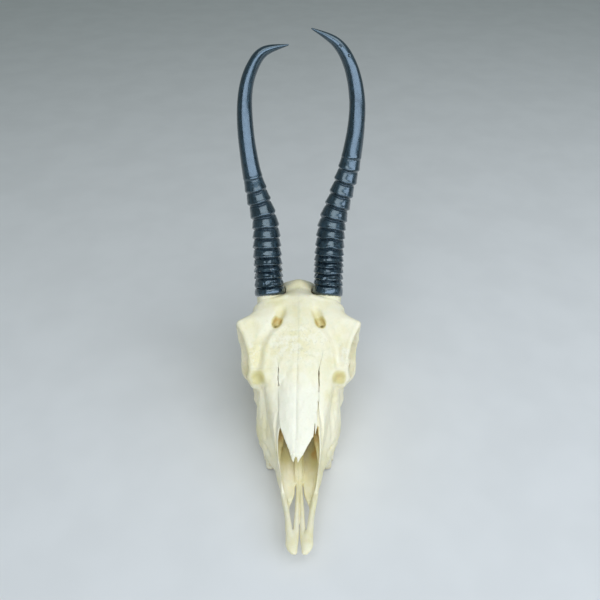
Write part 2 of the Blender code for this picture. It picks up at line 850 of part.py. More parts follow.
def part_cranium(cranium):
    """Cuts the cranium into its bones and returns them by name."""
    bones = {}
    rest = cranium
    for label, side in SIDES.items():
        bones["zygomatic_" + label] = take(rest, "zygomatic_" + label, cheek_block("region", side, 0.0))
    combine(rest, [cheek_block("cheek_slot", side, SEAM) for side in SIDES.values()], "DIFFERENCE")

    behind_face = take(rest, "behind_face", slab_behind("region", *shifted(FACE_SEAM, SEAM / 2)))
    combine(rest, [slab_behind("region", *shifted(FACE_SEAM, -SEAM / 2))], "DIFFERENCE")
    below_crown = slab_behind("region", *shifted(CROWN_SEAM, SEAM / 2))
    bones["braincase"] = take(behind_face, "braincase", below_crown)
    combine(behind_face, [slab_behind("region", *shifted(CROWN_SEAM, -SEAM / 2))], "DIFFERENCE")
    face = take(rest, "face_behind", slab_behind("region", *shifted(MUZZLE_SEAM, SEAM / 2)))
    combine(rest, [slab_behind("region", *shifted(MUZZLE_SEAM, -SEAM / 2))], "DIFFERENCE")
    for label, side in SIDES.items():
        bones["premaxilla_" + label] = take(rest, "premaxilla_" + label, half_space("region", side))
        bones["maxilla_" + label] = take(face, "maxilla_" + label, half_space("region", side))
        bones["frontal_" + label] = take(behind_face, "frontal_" + label, half_space("region", side))
    for leftover in (rest, face, behind_face):
        bpy.data.objects.remove(leftover, do_unlink=True)
    return bones


def main():
    clear_scene()
    bone = finish_material("bleached_bone", (0.83, 0.79, 0.62), 0.55)
    face_bone = finish_material("face_bone", (0.86, 0.83, 0.70), 0.50)
    sheath = finish_material("horn_sheath", (0.02, 0.025, 0.03), 0.35)

    cranium = make_cranium()
    clearances = [nasal_plate("nasal_slot", side, SEAM) for side in SIDES.values()]
    clearances += [horn_seat(side) for side in SIDES.values()]
    combine(cranium, clearances, "DIFFERENCE")
    keep_largest(cranium)
    bones = part_cranium(cranium)
    for label, side in SIDES.items():
        combine(bones["maxilla_" + label], make_teeth(side), "UNION")
        premaxilla = combine(bones["premaxilla_" + label], [prong(side)], "UNION")
        combine(premaxilla, [slab_behind("region", *shifted(MUZZLE_SEAM, -SEAM / 2))], "DIFFERENCE")
        shade(nasal_plate("nasal_" + label, side), face_bone)
        shade(make_horn("horn_" + label, HORN_STATIONS[label]), sheath, 60)
    for piece in bones.values():
        shade(keep_largest(piece), bone)


main()
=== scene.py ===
# Skull of a springbok ram without its lower jaw, as a museum model: dry bone and black horn sheaths.
# Places on the skull are in millimetres as (across, back, up): across from the midline, positive to
# the animal's left, back from the muzzle tip, and up from the floor that the teeth stand on.

import json
import math

import bmesh
import bpy
import numpy as np
from mathutils import Matrix, Vector

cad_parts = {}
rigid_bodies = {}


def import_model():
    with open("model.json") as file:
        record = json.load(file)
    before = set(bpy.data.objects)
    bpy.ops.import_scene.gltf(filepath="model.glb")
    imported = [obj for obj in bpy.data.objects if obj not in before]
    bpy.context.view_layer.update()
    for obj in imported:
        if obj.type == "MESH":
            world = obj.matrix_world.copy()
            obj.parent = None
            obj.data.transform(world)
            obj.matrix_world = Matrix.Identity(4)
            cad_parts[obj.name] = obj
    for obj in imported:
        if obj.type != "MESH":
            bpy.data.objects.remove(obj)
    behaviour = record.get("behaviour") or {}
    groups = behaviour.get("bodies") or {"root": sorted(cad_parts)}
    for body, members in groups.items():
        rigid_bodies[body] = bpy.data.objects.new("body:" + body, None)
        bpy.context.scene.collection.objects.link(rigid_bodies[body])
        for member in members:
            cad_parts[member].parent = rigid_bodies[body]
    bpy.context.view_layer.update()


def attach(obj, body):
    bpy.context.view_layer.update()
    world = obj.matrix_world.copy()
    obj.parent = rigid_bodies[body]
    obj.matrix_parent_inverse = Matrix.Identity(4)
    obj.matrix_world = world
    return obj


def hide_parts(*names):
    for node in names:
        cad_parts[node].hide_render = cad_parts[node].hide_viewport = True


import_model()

mm = 0.001
midBack = 132.0  # the place that lies at the frame's origin
sides = {"right": -1, "left": 1}
level = (0, 0, 1)  # which way the half height of a rod's cross-section points
upright = (0, 1, 0)
crosswise = (1, 0, 0)

# How fine the surfaces are, in mm.
detail = {
    "bone": 0.6,
    "muzzle": 0.36,
    "noseInside": 0.42,
    "teeth": 0.36,
    "hornStep": 0.42,
    "hornAround": 132,  # points round a horn
    "smoothing": 3,
}
sutures = {
    "gap": 0.06,
    "wave": 0.55,
    "midlineShare": 0.45,  # the midline waves less than the cross-cuts
    "grain": 3.2,
    "step": 1.2,  # how far apart the points of a cut lie
}


def place(across, back, up):
    return Vector((across, back - midBack, up)) * mm


def toMetres(points):
    return (np.asarray(points) - (0, midBack, 0)) * mm


def toPlaces(points):
    return np.asarray(points) / mm + (0, midBack, 0)


def fade(value, start, end):
    # 0 at start and 1 at end, with a soft change between them
    t = np.clip((value - start) / (end - start), 0, 1)
    return t * t * (3 - 2 * t)


# Mesh helpers


def showMesh(name, mesh):
    obj = bpy.data.objects.new(name, mesh)
    bpy.context.scene.collection.objects.link(obj)
    return obj


def addObject(name, bm, turnOut=True):
    if turnOut:
        bmesh.ops.recalc_face_normals(bm, faces=bm.faces)
    mesh = bpy.data.meshes.new(name)
    bm.to_mesh(mesh)
    bm.free()
    return showMesh(name, mesh)


def addFaces(name, points, faces):
    # points are places, and each face is a list of their numbers
    mesh = bpy.data.meshes.new(name)
    mesh.from_pydata(toMetres(points).tolist(), [], faces)
    bm = bmesh.new()
    bm.from_mesh(mesh)
    bpy.data.meshes.remove(mesh)
    return addObject(name, bm)


def bridge(name, rings):
    # sides between neighbouring rings of points, and a cap at each end
    bm = bmesh.new()
    loops = [[bm.verts.new(point) for point in ring] for ring in rings]
    for first, second in zip(loops, loops[1:]):
        for i in range(len(first)):
            j = (i + 1) % len(first)
            bm.faces.new((first[i], first[j], second[j], second[i]))
    bm.faces.new(reversed(loops[0]))
    bm.faces.new(loops[-1])
    return addObject(name, bm)


def inBetween(stations, steps):
    # each span is cut into steps along a Catmull-Rom curve
    run = []
    last = len(stations) - 1
    for i in range(last):
        span = [stations[max(i - 1, 0)], stations[i], stations[i + 1], stations[min(i + 2, last)]]
        span = np.array(span, float)
        for step in range(steps):
            t = step / steps
            weights = (-t + 2 * t**2 - t**3, 2 - 5 * t**2 + 3 * t**3, t + 4 * t**2 - 3 * t**3, t**3 - t**2)
            run.append(0.5 * np.array(weights) @ span)
    run.append(np.array(stations[last], float))
    return run


def signedPower(value, power):
    return math.copysign(abs(value) ** power, value)


def loft(name, stations, steps=5, count=56):
    # stations: back, top, bottom, half width, height of the widest line, fullness of roof and floor
    rings = []
    for back, top, bottom, half, widest, roof, floor in inBetween(stations, steps):
        ring = []
        for i in range(count):
            angle = 2 * math.pi * (i + 0.5) / count
            fullness, reach = (roof, top - widest) if math.sin(angle) > 0 else (floor, widest - bottom)
            across = half * signedPower(math.cos(angle), 2 / fullness)
            up = widest + reach * signedPower(math.sin(angle), 2 / fullness)
            ring.append(place(across, back, up))
        rings.append(ring)
    return bridge(name, rings)


def rod(name, stations, side=1, hint=level, steps=5, count=24):
    # stations: across, back, up, half width, half height
    run = inBetween(stations, steps)
    path = [place(side * station[0], station[1], station[2]) for station in run]
    angles = [2 * math.pi * k / count for k in range(count)]
    rings = []
    for i, (centre, station) in enumerate(zip(path, run)):
        ahead = (path[min(i + 1, len(path) - 1)] - path[max(i - 1, 0)]).normalized()
        wide = ahead.cross(Vector(hint)).normalized()
        high = wide.cross(ahead)
        wide, high = wide * station[3] * mm, high * station[4] * mm
        rings.append([centre + wide * math.cos(a) + high * math.sin(a) for a in angles])
    return bridge(name, rings)


def egg(name, centre, radii, turn=(0, 0), side=1):
    bm = bmesh.new()
    bmesh.ops.create_uvsphere(bm, u_segments=48, v_segments=28, radius=1.0)
    nod = Matrix.Rotation(math.radians(turn[0]), 4, "X")
    swing = Matrix.Rotation(math.radians(side * turn[1]), 4, "Z")
    size = Matrix.Diagonal((*[radius * mm for radius in radii], 1.0))
    move = Matrix.Translation(place(side * centre[0], centre[1], centre[2]))
    bmesh.ops.transform(bm, matrix=move @ nod @ swing @ size, verts=bm.verts)
    return addObject(name, bm)


def prism(name, outline, axis, low, high):
    # an outline of (back, up) points pushed across, or of (across, back) points pushed up
    rings = []
    for end in (low, high):
        if axis == "across":
            rings.append([place(end, back, up) for back, up in outline])
        else:
            rings.append([place(across, back, end + plateRise * back) for across, back in outline])
    return bridge(name, rings)


def settle(obj):
    # the modifiers' result becomes the object's own mesh
    bpy.context.view_layer.update()
    graph = bpy.context.evaluated_depsgraph_get()
    mesh = bpy.data.meshes.new_from_object(obj.evaluated_get(graph))
    obj.modifiers.clear()
    old, obj.data = obj.data, mesh
    bpy.data.meshes.remove(old)
    return obj


def merge(objects, name):
    # all meshes in one, still overlapping
    bm = bmesh.new()
    for obj in objects:
        bm.from_mesh(obj.data)
        bpy.data.objects.remove(obj, do_unlink=True)
    return addObject(name, bm, turnOut=False)


def melt(obj, grain, smoothing=0):
    # overlapping forms become one surface of small squares
    remesh = obj.modifiers.new("Melt", "REMESH")
    remesh.mode = "VOXEL"
    remesh.voxel_size = grain * mm
    if smoothing:
        smooth = obj.modifiers.new("Smooth", "SMOOTH")
        smooth.factor = 0.5
        smooth.iterations = smoothing
    return settle(obj)


def carve(obj, other, operation="DIFFERENCE"):
    cut = obj.modifiers.new("Cut", "BOOLEAN")
    cut.operation = operation
    cut.object = other
    cut.solver = "MANIFOLD"
    settle(obj)
    bpy.data.objects.remove(other, do_unlink=True)
    return obj


def readEdges(obj):
    edges = np.empty(len(obj.data.edges) * 2, np.int64)
    obj.data.edges.foreach_get("vertices", edges)
    return edges.reshape(-1, 2)


def keepLargest(obj):
    # loose scraps go, so that one surface is left
    first, second = readEdges(obj).T
    label = np.arange(len(obj.data.vertices))
    while True:
        low = np.minimum(label[first], label[second])
        fresh = label.copy()
        np.minimum.at(fresh, first, low)
        np.minimum.at(fresh, second, low)
        fresh = fresh[fresh]
        if (fresh == label).all():
            break
        label = fresh
    biggest = np.bincount(label).argmax()
    if (label == biggest).all():
        return obj
    bm = bmesh.new()
    bm.from_mesh(obj.data)
    bm.verts.ensure_lookup_table()
    drop = [bm.verts[i] for i in np.nonzero(label != biggest)[0]]
    bmesh.ops.delete(bm, geom=drop, context="VERTS")
    bm.to_mesh(obj.data)
    bm.free()
    return obj


def readPoints(obj):
    points = np.empty(len(obj.data.vertices) * 3)
    obj.data.vertices.foreach_get("co", points)
    return toPlaces(points.reshape(-1, 3))


def readNormals(obj):
    normals = np.empty(len(obj.data.vertices) * 3, np.float32)
    obj.data.vertex_normals.foreach_get("vector", normals)
    return normals.reshape(-1, 3).astype(float)


def writePoints(obj, points):
    obj.data.vertices.foreach_set("co", toMetres(points).ravel())
    obj.data.update()


def writeMask(obj, name, values):
    layer = obj.data.attributes.new(name, "FLOAT", "POINT")
    layer.data.foreach_set("value", np.clip(values, 0, 1).astype(np.float32))


def latticeNoise(points, grain, seed):
    # smooth random values from -1 to 1 that change over about one grain
    size = 32
    table = np.random.default_rng(seed).uniform(-1, 1, (size, size, size))
    spots = np.asarray(points) / grain
    cell = np.floor(spots).astype(int)
    share = spots - cell
    share = share * share * (3 - 2 * share)
    total = np.zeros(len(spots))
    for corner in np.ndindex(2, 2, 2):
        weight = np.prod(np.where(corner, share, 1 - share), axis=1)
        a, b, c = ((cell + corner) % size).T
        total += weight * table[a, b, c]
    return total


def pathDistance(points, path):
    nearest = np.full(len(points), np.inf)
    path = np.asarray(path, float)
    for start, end in zip(path, path[1:]):
        span = end - start
        share = np.clip((points - start) @ span / max(span @ span, 1e-9), 0, 1)
        gap = points - start - share[:, None] * span
        nearest = np.minimum(nearest, np.sqrt((gap**2).sum(axis=1)))
    return nearest


# Forms of the skull. Stations are real places, and every form overlaps its neighbours.

plateRise = 0.05  # how fast the roof of the mouth climbs towards the back

bodyForms = {
    "face": [
        (40, 24, 15.6, 11.8, 19, 2.0, 2.4),
        (46, 30, 15.2, 13.7, 20, 2.0, 2.4),
        (52, 36, 14.8, 15.5, 20.3, 1.8, 2.6),
        (58, 41, 14.4, 17.0, 20.6, 1.7, 2.8),
        (64, 45, 13.5, 18.3, 21, 1.6, 3.2),
        (76, 55, 10.5, 24.5, 22, 1.5, 4.5),
        (84, 60, 10.5, 28.6, 26, 1.5, 4.5),
        (92, 65, 10.5, 31.6, 30, 1.5, 4.5),
        (100, 69, 10.5, 32.7, 35, 1.6, 4.5),
        (106, 72.5, 10.5, 32.0, 42, 2.1, 4.5),
        (110, 75, 10.5, 31.9, 47, 2.8, 4.5),
        (114, 77, 10.5, 32.4, 52, 3.2, 4.0),
        (118, 78, 10.5, 35.4, 53, 3.2, 3.6),
        (123, 72, 10.5, 34.0, 46, 2.6, 3.6),
        (131, 50, 10.5, 31.5, 32, 2.0, 3.6),
        (141, 40, 13.0, 27.5, 28, 2.0, 3.0),
    ],
    "noseRoof": [
        (44, 36.0, 15, 10.4, 22, 2.6, 2.0),
        (52, 42.0, 15, 13.2, 26, 2.8, 2.0),
        (63, 50.6, 17, 16.0, 34, 3.0, 2.0),
        (76, 59.0, 22, 17.0, 42, 3.0, 2.0),
        (90, 66.2, 30, 17.2, 50, 2.8, 2.0),
        (104, 73.8, 40, 18.5, 60, 2.5, 2.0),
        (118, 82.2, 50, 22.0, 69, 2.4, 2.0),
        (130, 89.6, 54, 24.0, 77, 2.3, 2.0),
    ],
    "brow": [
        (100, 69.5, 58, 19.5, 62, 2.2, 2.0),
        (106, 74.3, 62, 27.0, 68.5, 2.3, 2.0),
        (112, 78.2, 66, 33.6, 73.5, 2.4, 1.8),
        (119, 82.8, 70, 36.6, 79, 2.5, 1.7),
        (128, 88.7, 75, 39.8, 84.5, 2.6, 1.6),
        (136, 93.6, 79, 43.2, 88.5, 2.7, 1.5),
        (141, 96.5, 81, 46.4, 91.5, 2.7, 1.5),
        (144.5, 98.4, 82.5, 47.8, 93.5, 2.7, 1.5),
        (147, 99.7, 82.5, 43.6, 94.5, 2.6, 1.6),
        (150, 101.2, 81, 39.0, 95, 2.5, 1.7),
        (154, 103.2, 79, 36.2, 95, 2.4, 1.8),
        (161, 106.0, 74, 35.6, 93, 2.3, 1.9),
        (165, 106.5, 70, 32.0, 89, 2.0, 2.0),
        (169, 106.0, 69, 25.0, 86, 1.8, 2.0),
        (174, 105.6, 68, 18.5, 88, 1.7, 2.0),
        (180, 106.9, 64, 20.5, 86, 1.5, 2.0),
        (185, 105.8, 62, 22.5, 81, 1.55, 2.0),
        (192, 99.6, 60, 25.0, 75, 1.9, 2.0),
        (200, 88.0, 56, 21.5, 70, 2.2, 2.0),
    ],
    "snoutTop": [
        (66, 46, 24, 16.6, 36, 2.3, 2.4),
        (78, 55, 28, 20.0, 43, 2.6, 2.4),
        (88, 61.5, 32, 22.6, 49, 2.8, 2.4),
        (96, 66.5, 38, 24.8, 55, 2.9, 2.4),
        (104, 72.0, 45, 26.6, 62, 2.8, 2.2),
        (112, 77.0, 54, 28.0, 69, 2.6, 2.2),
        (120, 81.5, 62, 27.0, 75, 2.4, 2.2),
    ],
    "core": [
        (98, 66, 16, 24.0, 40, 2, 2),
        (110, 74, 17, 25.0, 42, 2, 2),
        (120, 80, 20, 20.5, 50, 2, 2),
        (132, 88, 26, 16.0, 58, 2, 2),
        (144, 96, 32, 17.5, 66, 2, 2),
        (154, 101, 36, 22.0, 70, 2, 2),
    ],
    "braincase": [
        (146, 97, 40, 20.0, 70, 2.1, 2.1),
        (154, 101, 40, 25.5, 70, 2.1, 2.1),
        (163, 104, 38, 29.5, 70, 1.8, 2.2),
        (174, 105, 36, 31.5, 68, 1.6, 2.2),
        (185, 103, 34, 31.5, 65, 1.6, 2.2),
        (195, 95, 33, 29.0, 61, 2.1, 2.2),
        (203, 83, 33, 24.5, 56, 2.1, 2.2),
        (208, 70, 34, 18.0, 52, 2.1, 2.1),
    ],
}

middleRods = {  # which way the half height points, then the stations
    "base": (level, [(0, 136, 38, 8, 12), (0, 155, 37, 9.5, 8), (0, 180, 33, 9, 6.5), (0, 206, 36, 12, 6)]),
    "nuchalCrest": (
        upright,
        [
            (-25, 192, 58, 3, 5),
            (-19, 200, 72, 3, 5.5),
            (0, 204.5, 81, 3, 5.5),
            (19, 200, 72, 3, 5.5),
            (25, 192, 58, 3, 5),
        ],
    ),
}

pairedRods = {
    "cheekArch": (
        level,
        [
            (26.0, 113.5, 49, 4.0, 6.0),
            (30.0, 119.0, 51, 4.0, 5.4),
            (34.8, 125.5, 50.6, 3.0, 4.6),
            (41.6, 135, 48.3, 3.0, 5.2),
            (43.4, 145, 47, 3.0, 5.8),
            (42.5, 156, 48, 2.4, 4.0),
            (40.5, 168, 49, 2.4, 4.2),
            (36.0, 180, 50, 4.0, 5.0),
            (28.0, 187, 51, 5.0, 6.0),
        ],
    ),
    "eyeRimBack": (
        upright,
        [
            (44.2, 144, 93, 3.6, 3.4),
            (44.9, 148.5, 84, 3.8, 2.6),
            (44.0, 149.6, 72, 3.8, 2.4),
            (43.0, 148.0, 60, 3.4, 3.0),
            (43.0, 144.5, 49, 3.2, 5.0),
        ],
    ),
    "eyeRimFront": (
        upright,
        [
            (36.8, 127, 50.5, 3.2, 3.6),
            (34.9, 121.5, 54.5, 3.4, 3.6),
            (35.7, 116.4, 61.3, 3.2, 3.4),
            (36.2, 112.8, 67.4, 3.2, 3.2),
            (35.0, 114.0, 71.8, 2.8, 2.8),
            (36.6, 121.0, 77.4, 2.2, 2.4),
        ],
    ),
    "earTube": (upright, [(20, 184, 36, 6, 6), (29, 187, 42, 5, 5), (34.5, 189, 46, 4.2, 4.6)]),
    "neckProcess": (
        upright,
        [
            (24.0, 198, 50, 6.0, 5.0),
            (24.5, 200, 34, 5.0, 4.0),
            (23.5, 200, 18, 3.6, 3.0),
            (22.5, 199, 6, 2.8, 2.4),
            (22.3, 199, 0, 2.4, 2.2),
        ],
    ),
    "palateWing": (level, [(10.5, 134, 26, 2.0, 9), (10.0, 148, 30, 1.8, 9), (8.5, 164, 35, 2.0, 8)]),
    "prong": (
        level,
        [
            (2.9, 0.2, 15.4, 1.0, 0.9),
            (3.2, 1.2, 15.5, 2.0, 1.5),
            (4.3, 3.6, 15.6, 3.3, 2.1),
            (5.1, 6.8, 15.8, 4.2, 2.5),
            (5.1, 9.8, 15.9, 4.3, 2.6),
            (5.9, 14.0, 16.2, 3.6, 2.7),
            (7.2, 19.0, 16.6, 2.6, 2.7),
            (8.0, 25.0, 17.0, 2.2, 2.8),
            (9.2, 32.0, 17.4, 2.2, 3.0),
            (10.5, 39.0, 18.0, 2.3, 3.4),
            (11.6, 45.0, 18.8, 2.1, 3.8),
            (12.4, 52.0, 20.0, 1.9, 4.4),
        ],
    ),
    "midlineRod": (
        level,
        [
            (3.0, 9.0, 15.8, 2.3, 1.9),
            (2.3, 16.0, 16.2, 1.95, 1.8),
            (2.05, 23.0, 16.6, 1.8, 1.75),
            (1.85, 30.0, 17.0, 1.62, 1.7),
            (1.55, 38.0, 17.5, 1.35, 1.7),
            (1.25, 46.0, 17.5, 1.1, 1.5),
            (1.1, 54.0, 17.4, 1.0, 1.3),
        ],
    ),
}

pairedEggs = {  # centre, radii, turn
    "earCapsule": ((16.5, 182.0, 27.0), (8.0, 13.5, 10.5), (-8, -12)),
    "jawSocket": ((31.0, 177, 51), (10, 10, 6), (0, 0)),
    "condyle": ((11.0, 207, 38), (8.5, 7.0, 11.5), (0, 24)),
    "tearBone": ((31.0, 112.4, 65.0), (6.6, 5.0, 10.0), (0, 0)),
}

floorPlate = {
    "outline": [(1.0, 13.0), (5.0, 13.0), (7.6, 27.0), (10.0, 40.0), (11.6, 53.0), (1.0, 53.0)],
    "thickness": (14.5, 15.8),
    "cut": (4.0, 28.0),
    "slot": [
        *[(1.9, 52.8), (3.1, 52.6), (3.35, 49.5), (3.5, 45.0), (5.0, 39.8)],
        *[(6.8, 35.2), (7.25, 31.6), (6.2, 25.5), (5.4, 19.8), (4.8, 15.2)],
        *[(4.2, 16.4), (3.9, 23.4), (3.5, 30.3), (2.9, 38.5), (2.0, 46.3), (1.8, 50.0)],
    ],
}

hornRoot = {
    "base": (22.8, 174.0, 98.0),
    "aim": (0.10, 0.61, 0.785),
    "half": 12.2,
    "depth": 1.14,  # fore and aft, as a share of the width
    "core": ((-22, 0), (-10, 0.8), (3, 1.0)),  # distance up the horn's axis, and how much slimmer
    "seat": ((-0.3, 0), (14, 0)),
    "seatMargin": 0.6,
}

middleCuts = {
    "nosePassage": [
        (36, 60, 17.6, 8.2, 24, 8.0, 5.0),
        (46, 60, 18.3, 11.4, 26, 8.0, 4.5),
        (52, 60, 18.8, 12.9, 30, 6.0, 4.0),
        (63, 62, 19.6, 14.9, 40, 2.8, 3.4),
        (76, 62, 20.5, 14.8, 42, 2.6, 2.4),
        (84, 58, 21.0, 13.8, 42, 2.4, 2.2),
        (98, 64, 22.0, 12.5, 46, 2.4, 2.2),
        (112, 68, 26.0, 10.0, 50, 2.2, 2.0),
        (122, 64, 36.0, 5.0, 52, 2.0, 2.0),
    ],
    "palateVault": [
        (48, 15.5, -6, 9.0, 6, 2.0, 2),
        (64, 16.0, -6, 10.0, 6, 2.2, 2),
        (80, 17.5, -6, 13.5, 6, 2.4, 2),
        (100, 18.5, -6, 15.5, 6, 2.4, 2),
        (125, 18.5, -6, 16.5, 6, 2.4, 2),
        (150, 20.0, -6, 16.5, 6, 2.4, 2),
    ],
}
throatCut = [(0, 124, 31, 7, 7), (0, 140, 30, 7.5, 9), (0, 160, 24, 7, 9)]
brainCut = ((0, 198, 51), (9.5, 26, 9.0))
noseMargin = {
    "outline": [(30, 21), (43, 21), (47, 24.5), (52, 30), (63, 42), (76.5, 55.5), (76.5, 90), (30, 90)],
    "halfWidth": 40.0,
}
pairedCuts = {  # centre, radii, turn
    "socket": ((42.0, 131.4, 65.2), (27.0, 16.0, 16.4), (0, 14)),
    "earHole": ((35.0, 189.0, 46.5), (6.0, 2.4, 2.4), (0, 0)),
    "browDish": ((14.0, 146.2, 105.2), (5.8, 8.2, 8.2), (22, 14)),
    "browPit": ((16.4, 142.8, 96.6), (3.0, 4.6, 4.4), (24, 16)),
    "tearPit": ((31.4, 104.6, 73.4), (5.2, 6.2, 7.4), (0, 0)),
    "nerveHole": ((27.5, 76.5, 27.5), (4.5, 2.6, 1.9), (0, -35)),
    "browShelf": ((41.0, 131.0, 72.0), (10.0, 13.0, 9.5), (0, 14)),
}
browHole = [(17.4, 141.0, 97, 1.3, 1.4), (17.6, 143.0, 91, 1.3, 1.4), (17.8, 146.0, 84, 1.2, 1.2)]


def alongHornAxis(spots, half):
    aim = Vector(hornRoot["aim"]).normalized()
    deep = half * hornRoot["depth"]
    stations = []
    for distance, slim in spots:
        spot = Vector(hornRoot["base"]) + aim * distance
        stations.append((*spot, deep - slim, half - slim))
    return stations


def plateOf(side, key, low, high):
    outline = [(side * across, back) for across, back in floorPlate[key]]
    return prism("plate", outline, "up", low, high)


def noseMarginCut():
    half = noseMargin["halfWidth"]
    return prism("noseMargin", noseMargin["outline"], "across", -half, half)


def skullForms():
    forms = [loft(name, stations) for name, stations in bodyForms.items()]
    forms += [rod(name, stations, hint=hint) for name, (hint, stations) in middleRods.items()]
    core = alongHornAxis(hornRoot["core"], hornRoot["half"])
    for side in sides.values():
        forms += [rod(name, stations, side, hint) for name, (hint, stations) in pairedRods.items()]
        forms += [egg(name, *sizes, side) for name, sizes in pairedEggs.items()]
        forms.append(rod("hornCore", core, side, crosswise))
        forms.append(plateOf(side, "outline", *floorPlate["thickness"]))
    return forms


def skullCuts():
    cuts = [loft(name, stations) for name, stations in middleCuts.items()]
    cuts += [rod("throat", throatCut), egg("brainOpening", *brainCut), noseMarginCut()]
    seat = alongHornAxis(hornRoot["seat"], hornRoot["half"] + hornRoot["seatMargin"])
    for side in sides.values():
        cuts += [egg(name, *sizes, side) for name, sizes in pairedCuts.items()]
        cuts.append(rod("browHole", browHole, side, upright))
        cuts.append(rod("hornSeat", seat, side, crosswise, steps=2, count=64))
        cuts.append(plateOf(side, "slot", *floorPlate["cut"]))
    return cuts


def makeSkull():
    grain = detail["bone"]
    skull = melt(merge(skullForms(), "skull"), grain)
    carve(skull, melt(merge(skullCuts(), "skullCuts"), grain))
    plates = [nasalPlate("nasalPlate", side) for side in sides.values()]
    plates.append(rod("sliver", nasalSizes["sliver"]))
    carve(skull, melt(merge(plates, "nasalPlates"), grain), "UNION")
    melt(skull, grain, detail["smoothing"])
    return keepLargest(skull)


# The muzzle's thin prongs and rods are made again on a finer grain.

muzzle = {
    "reach": 106.0,
    "tipGap": [  # (across, back) of the gap between the prongs
        *[(-0.8, -3), (0.8, -3), (0.75, 5), (0.5, 10.5)],
        *[(0.15, 17), (-0.15, 17), (-0.5, 10.5), (-0.75, 5)],
    ],
    "pinHole": [(2.95, 53.6, 26, 0.55, 0.55), (2.95, 53.6, 10, 0.55, 0.55)],
    "drift": 0.5,  # how far its tip leans to the animal's left
    "driftFrom": (40, 78),
}


def makeMuzzle():
    grain = detail["muzzle"]
    short = {}
    for name, stations in {**bodyForms, **middleCuts}.items():
        short[name] = [station for station in stations if station[0] <= muzzle["reach"]]
    forms = [loft(name, short[name]) for name in ("face", "noseRoof")]
    cuts = [loft(name, short[name]) for name in middleCuts]
    cuts += [noseMarginCut(), prism("tipGap", muzzle["tipGap"], "up", *floorPlate["cut"])]
    cuts.append(rod("pinHole", muzzle["pinHole"], 1, upright))
    rods = []
    for side in sides.values():
        for name, pieces in (("prong", forms), ("midlineRod", rods)):
            hint, stations = pairedRods[name]
            pieces.append(rod(name, stations, side, hint))
        forms.append(plateOf(side, "outline", *floorPlate["thickness"]))
        cuts.append(plateOf(side, "slot", *floorPlate["cut"]))
        cuts.append(egg("nerveHole", *pairedCuts["nerveHole"], side))
    body = melt(merge(forms, "muzzle"), grain)
    carve(body, melt(merge(cuts, "muzzleCuts"), grain))
    carve(body, melt(merge(rods, "rods"), grain), "UNION")
    melt(body, grain, detail["smoothing"])
    return keepLargest(body)


# Sculpting. A stroke pushes the surface along its normals, near a path drawn in one view.

views = {  # which places the path gives, and the way the surface has to face
    "top": ((0, 1), (0, 0, 1)),
    "side": ((1, 2), (1, 0, 0)),
    "under": ((0, 1), (0, 0, -1)),
    "rear": ((0, 2), (0, 1, 0)),
    "front": ((0, 2), (0, -1, 0)),
}


def strokeWeight(points, normals, path, radius, view, side, band):
    columns, facing = views[view]
    path = np.array(path, float)
    facing = np.array(facing, float)
    if view == "side":
        facing = facing * side
        near = points[:, 0] * side > 0
    else:
        path[:, 0] *= side
        near = np.ones(len(points), bool)
    flat = points[:, columns]
    low, high = path.min(axis=0) - radius, path.max(axis=0) + radius
    near &= ((flat > low) & (flat < high)).all(axis=1)
    if band:
        depthColumn = ({0, 1, 2} - set(columns)).pop()
        distance = np.abs(points[:, depthColumn])
        near &= (distance > band[0]) & (distance < band[1])
    weight = np.zeros(len(points))
    spots = np.nonzero(near)[0]
    if len(spots):
        gap = pathDistance(flat[spots], path) / radius
        facingShare = fade(normals[spots] @ facing, 0.05, 0.4)
        weight[spots] = np.clip(1 - gap**2, 0, 1) ** 2 * facingShare
    return weight


def jugal(back, low, high):
    # the swelling of the wall over a tooth's root
    return [(back, low), (back - 1.0, high)]


def eyeRim():
    # (back, up) round the edge of the socket
    _, back, up = pairedCuts["socket"][0]
    return [(back + 19 * math.cos(a), up + 18.6 * math.sin(a)) for a in np.linspace(-2.9, 2.4, 24)]


toothMiddles = [80.8, 88.6, 96.8, 103.5, 109.2, 115.5, 122.0, 128.3, 134.6]

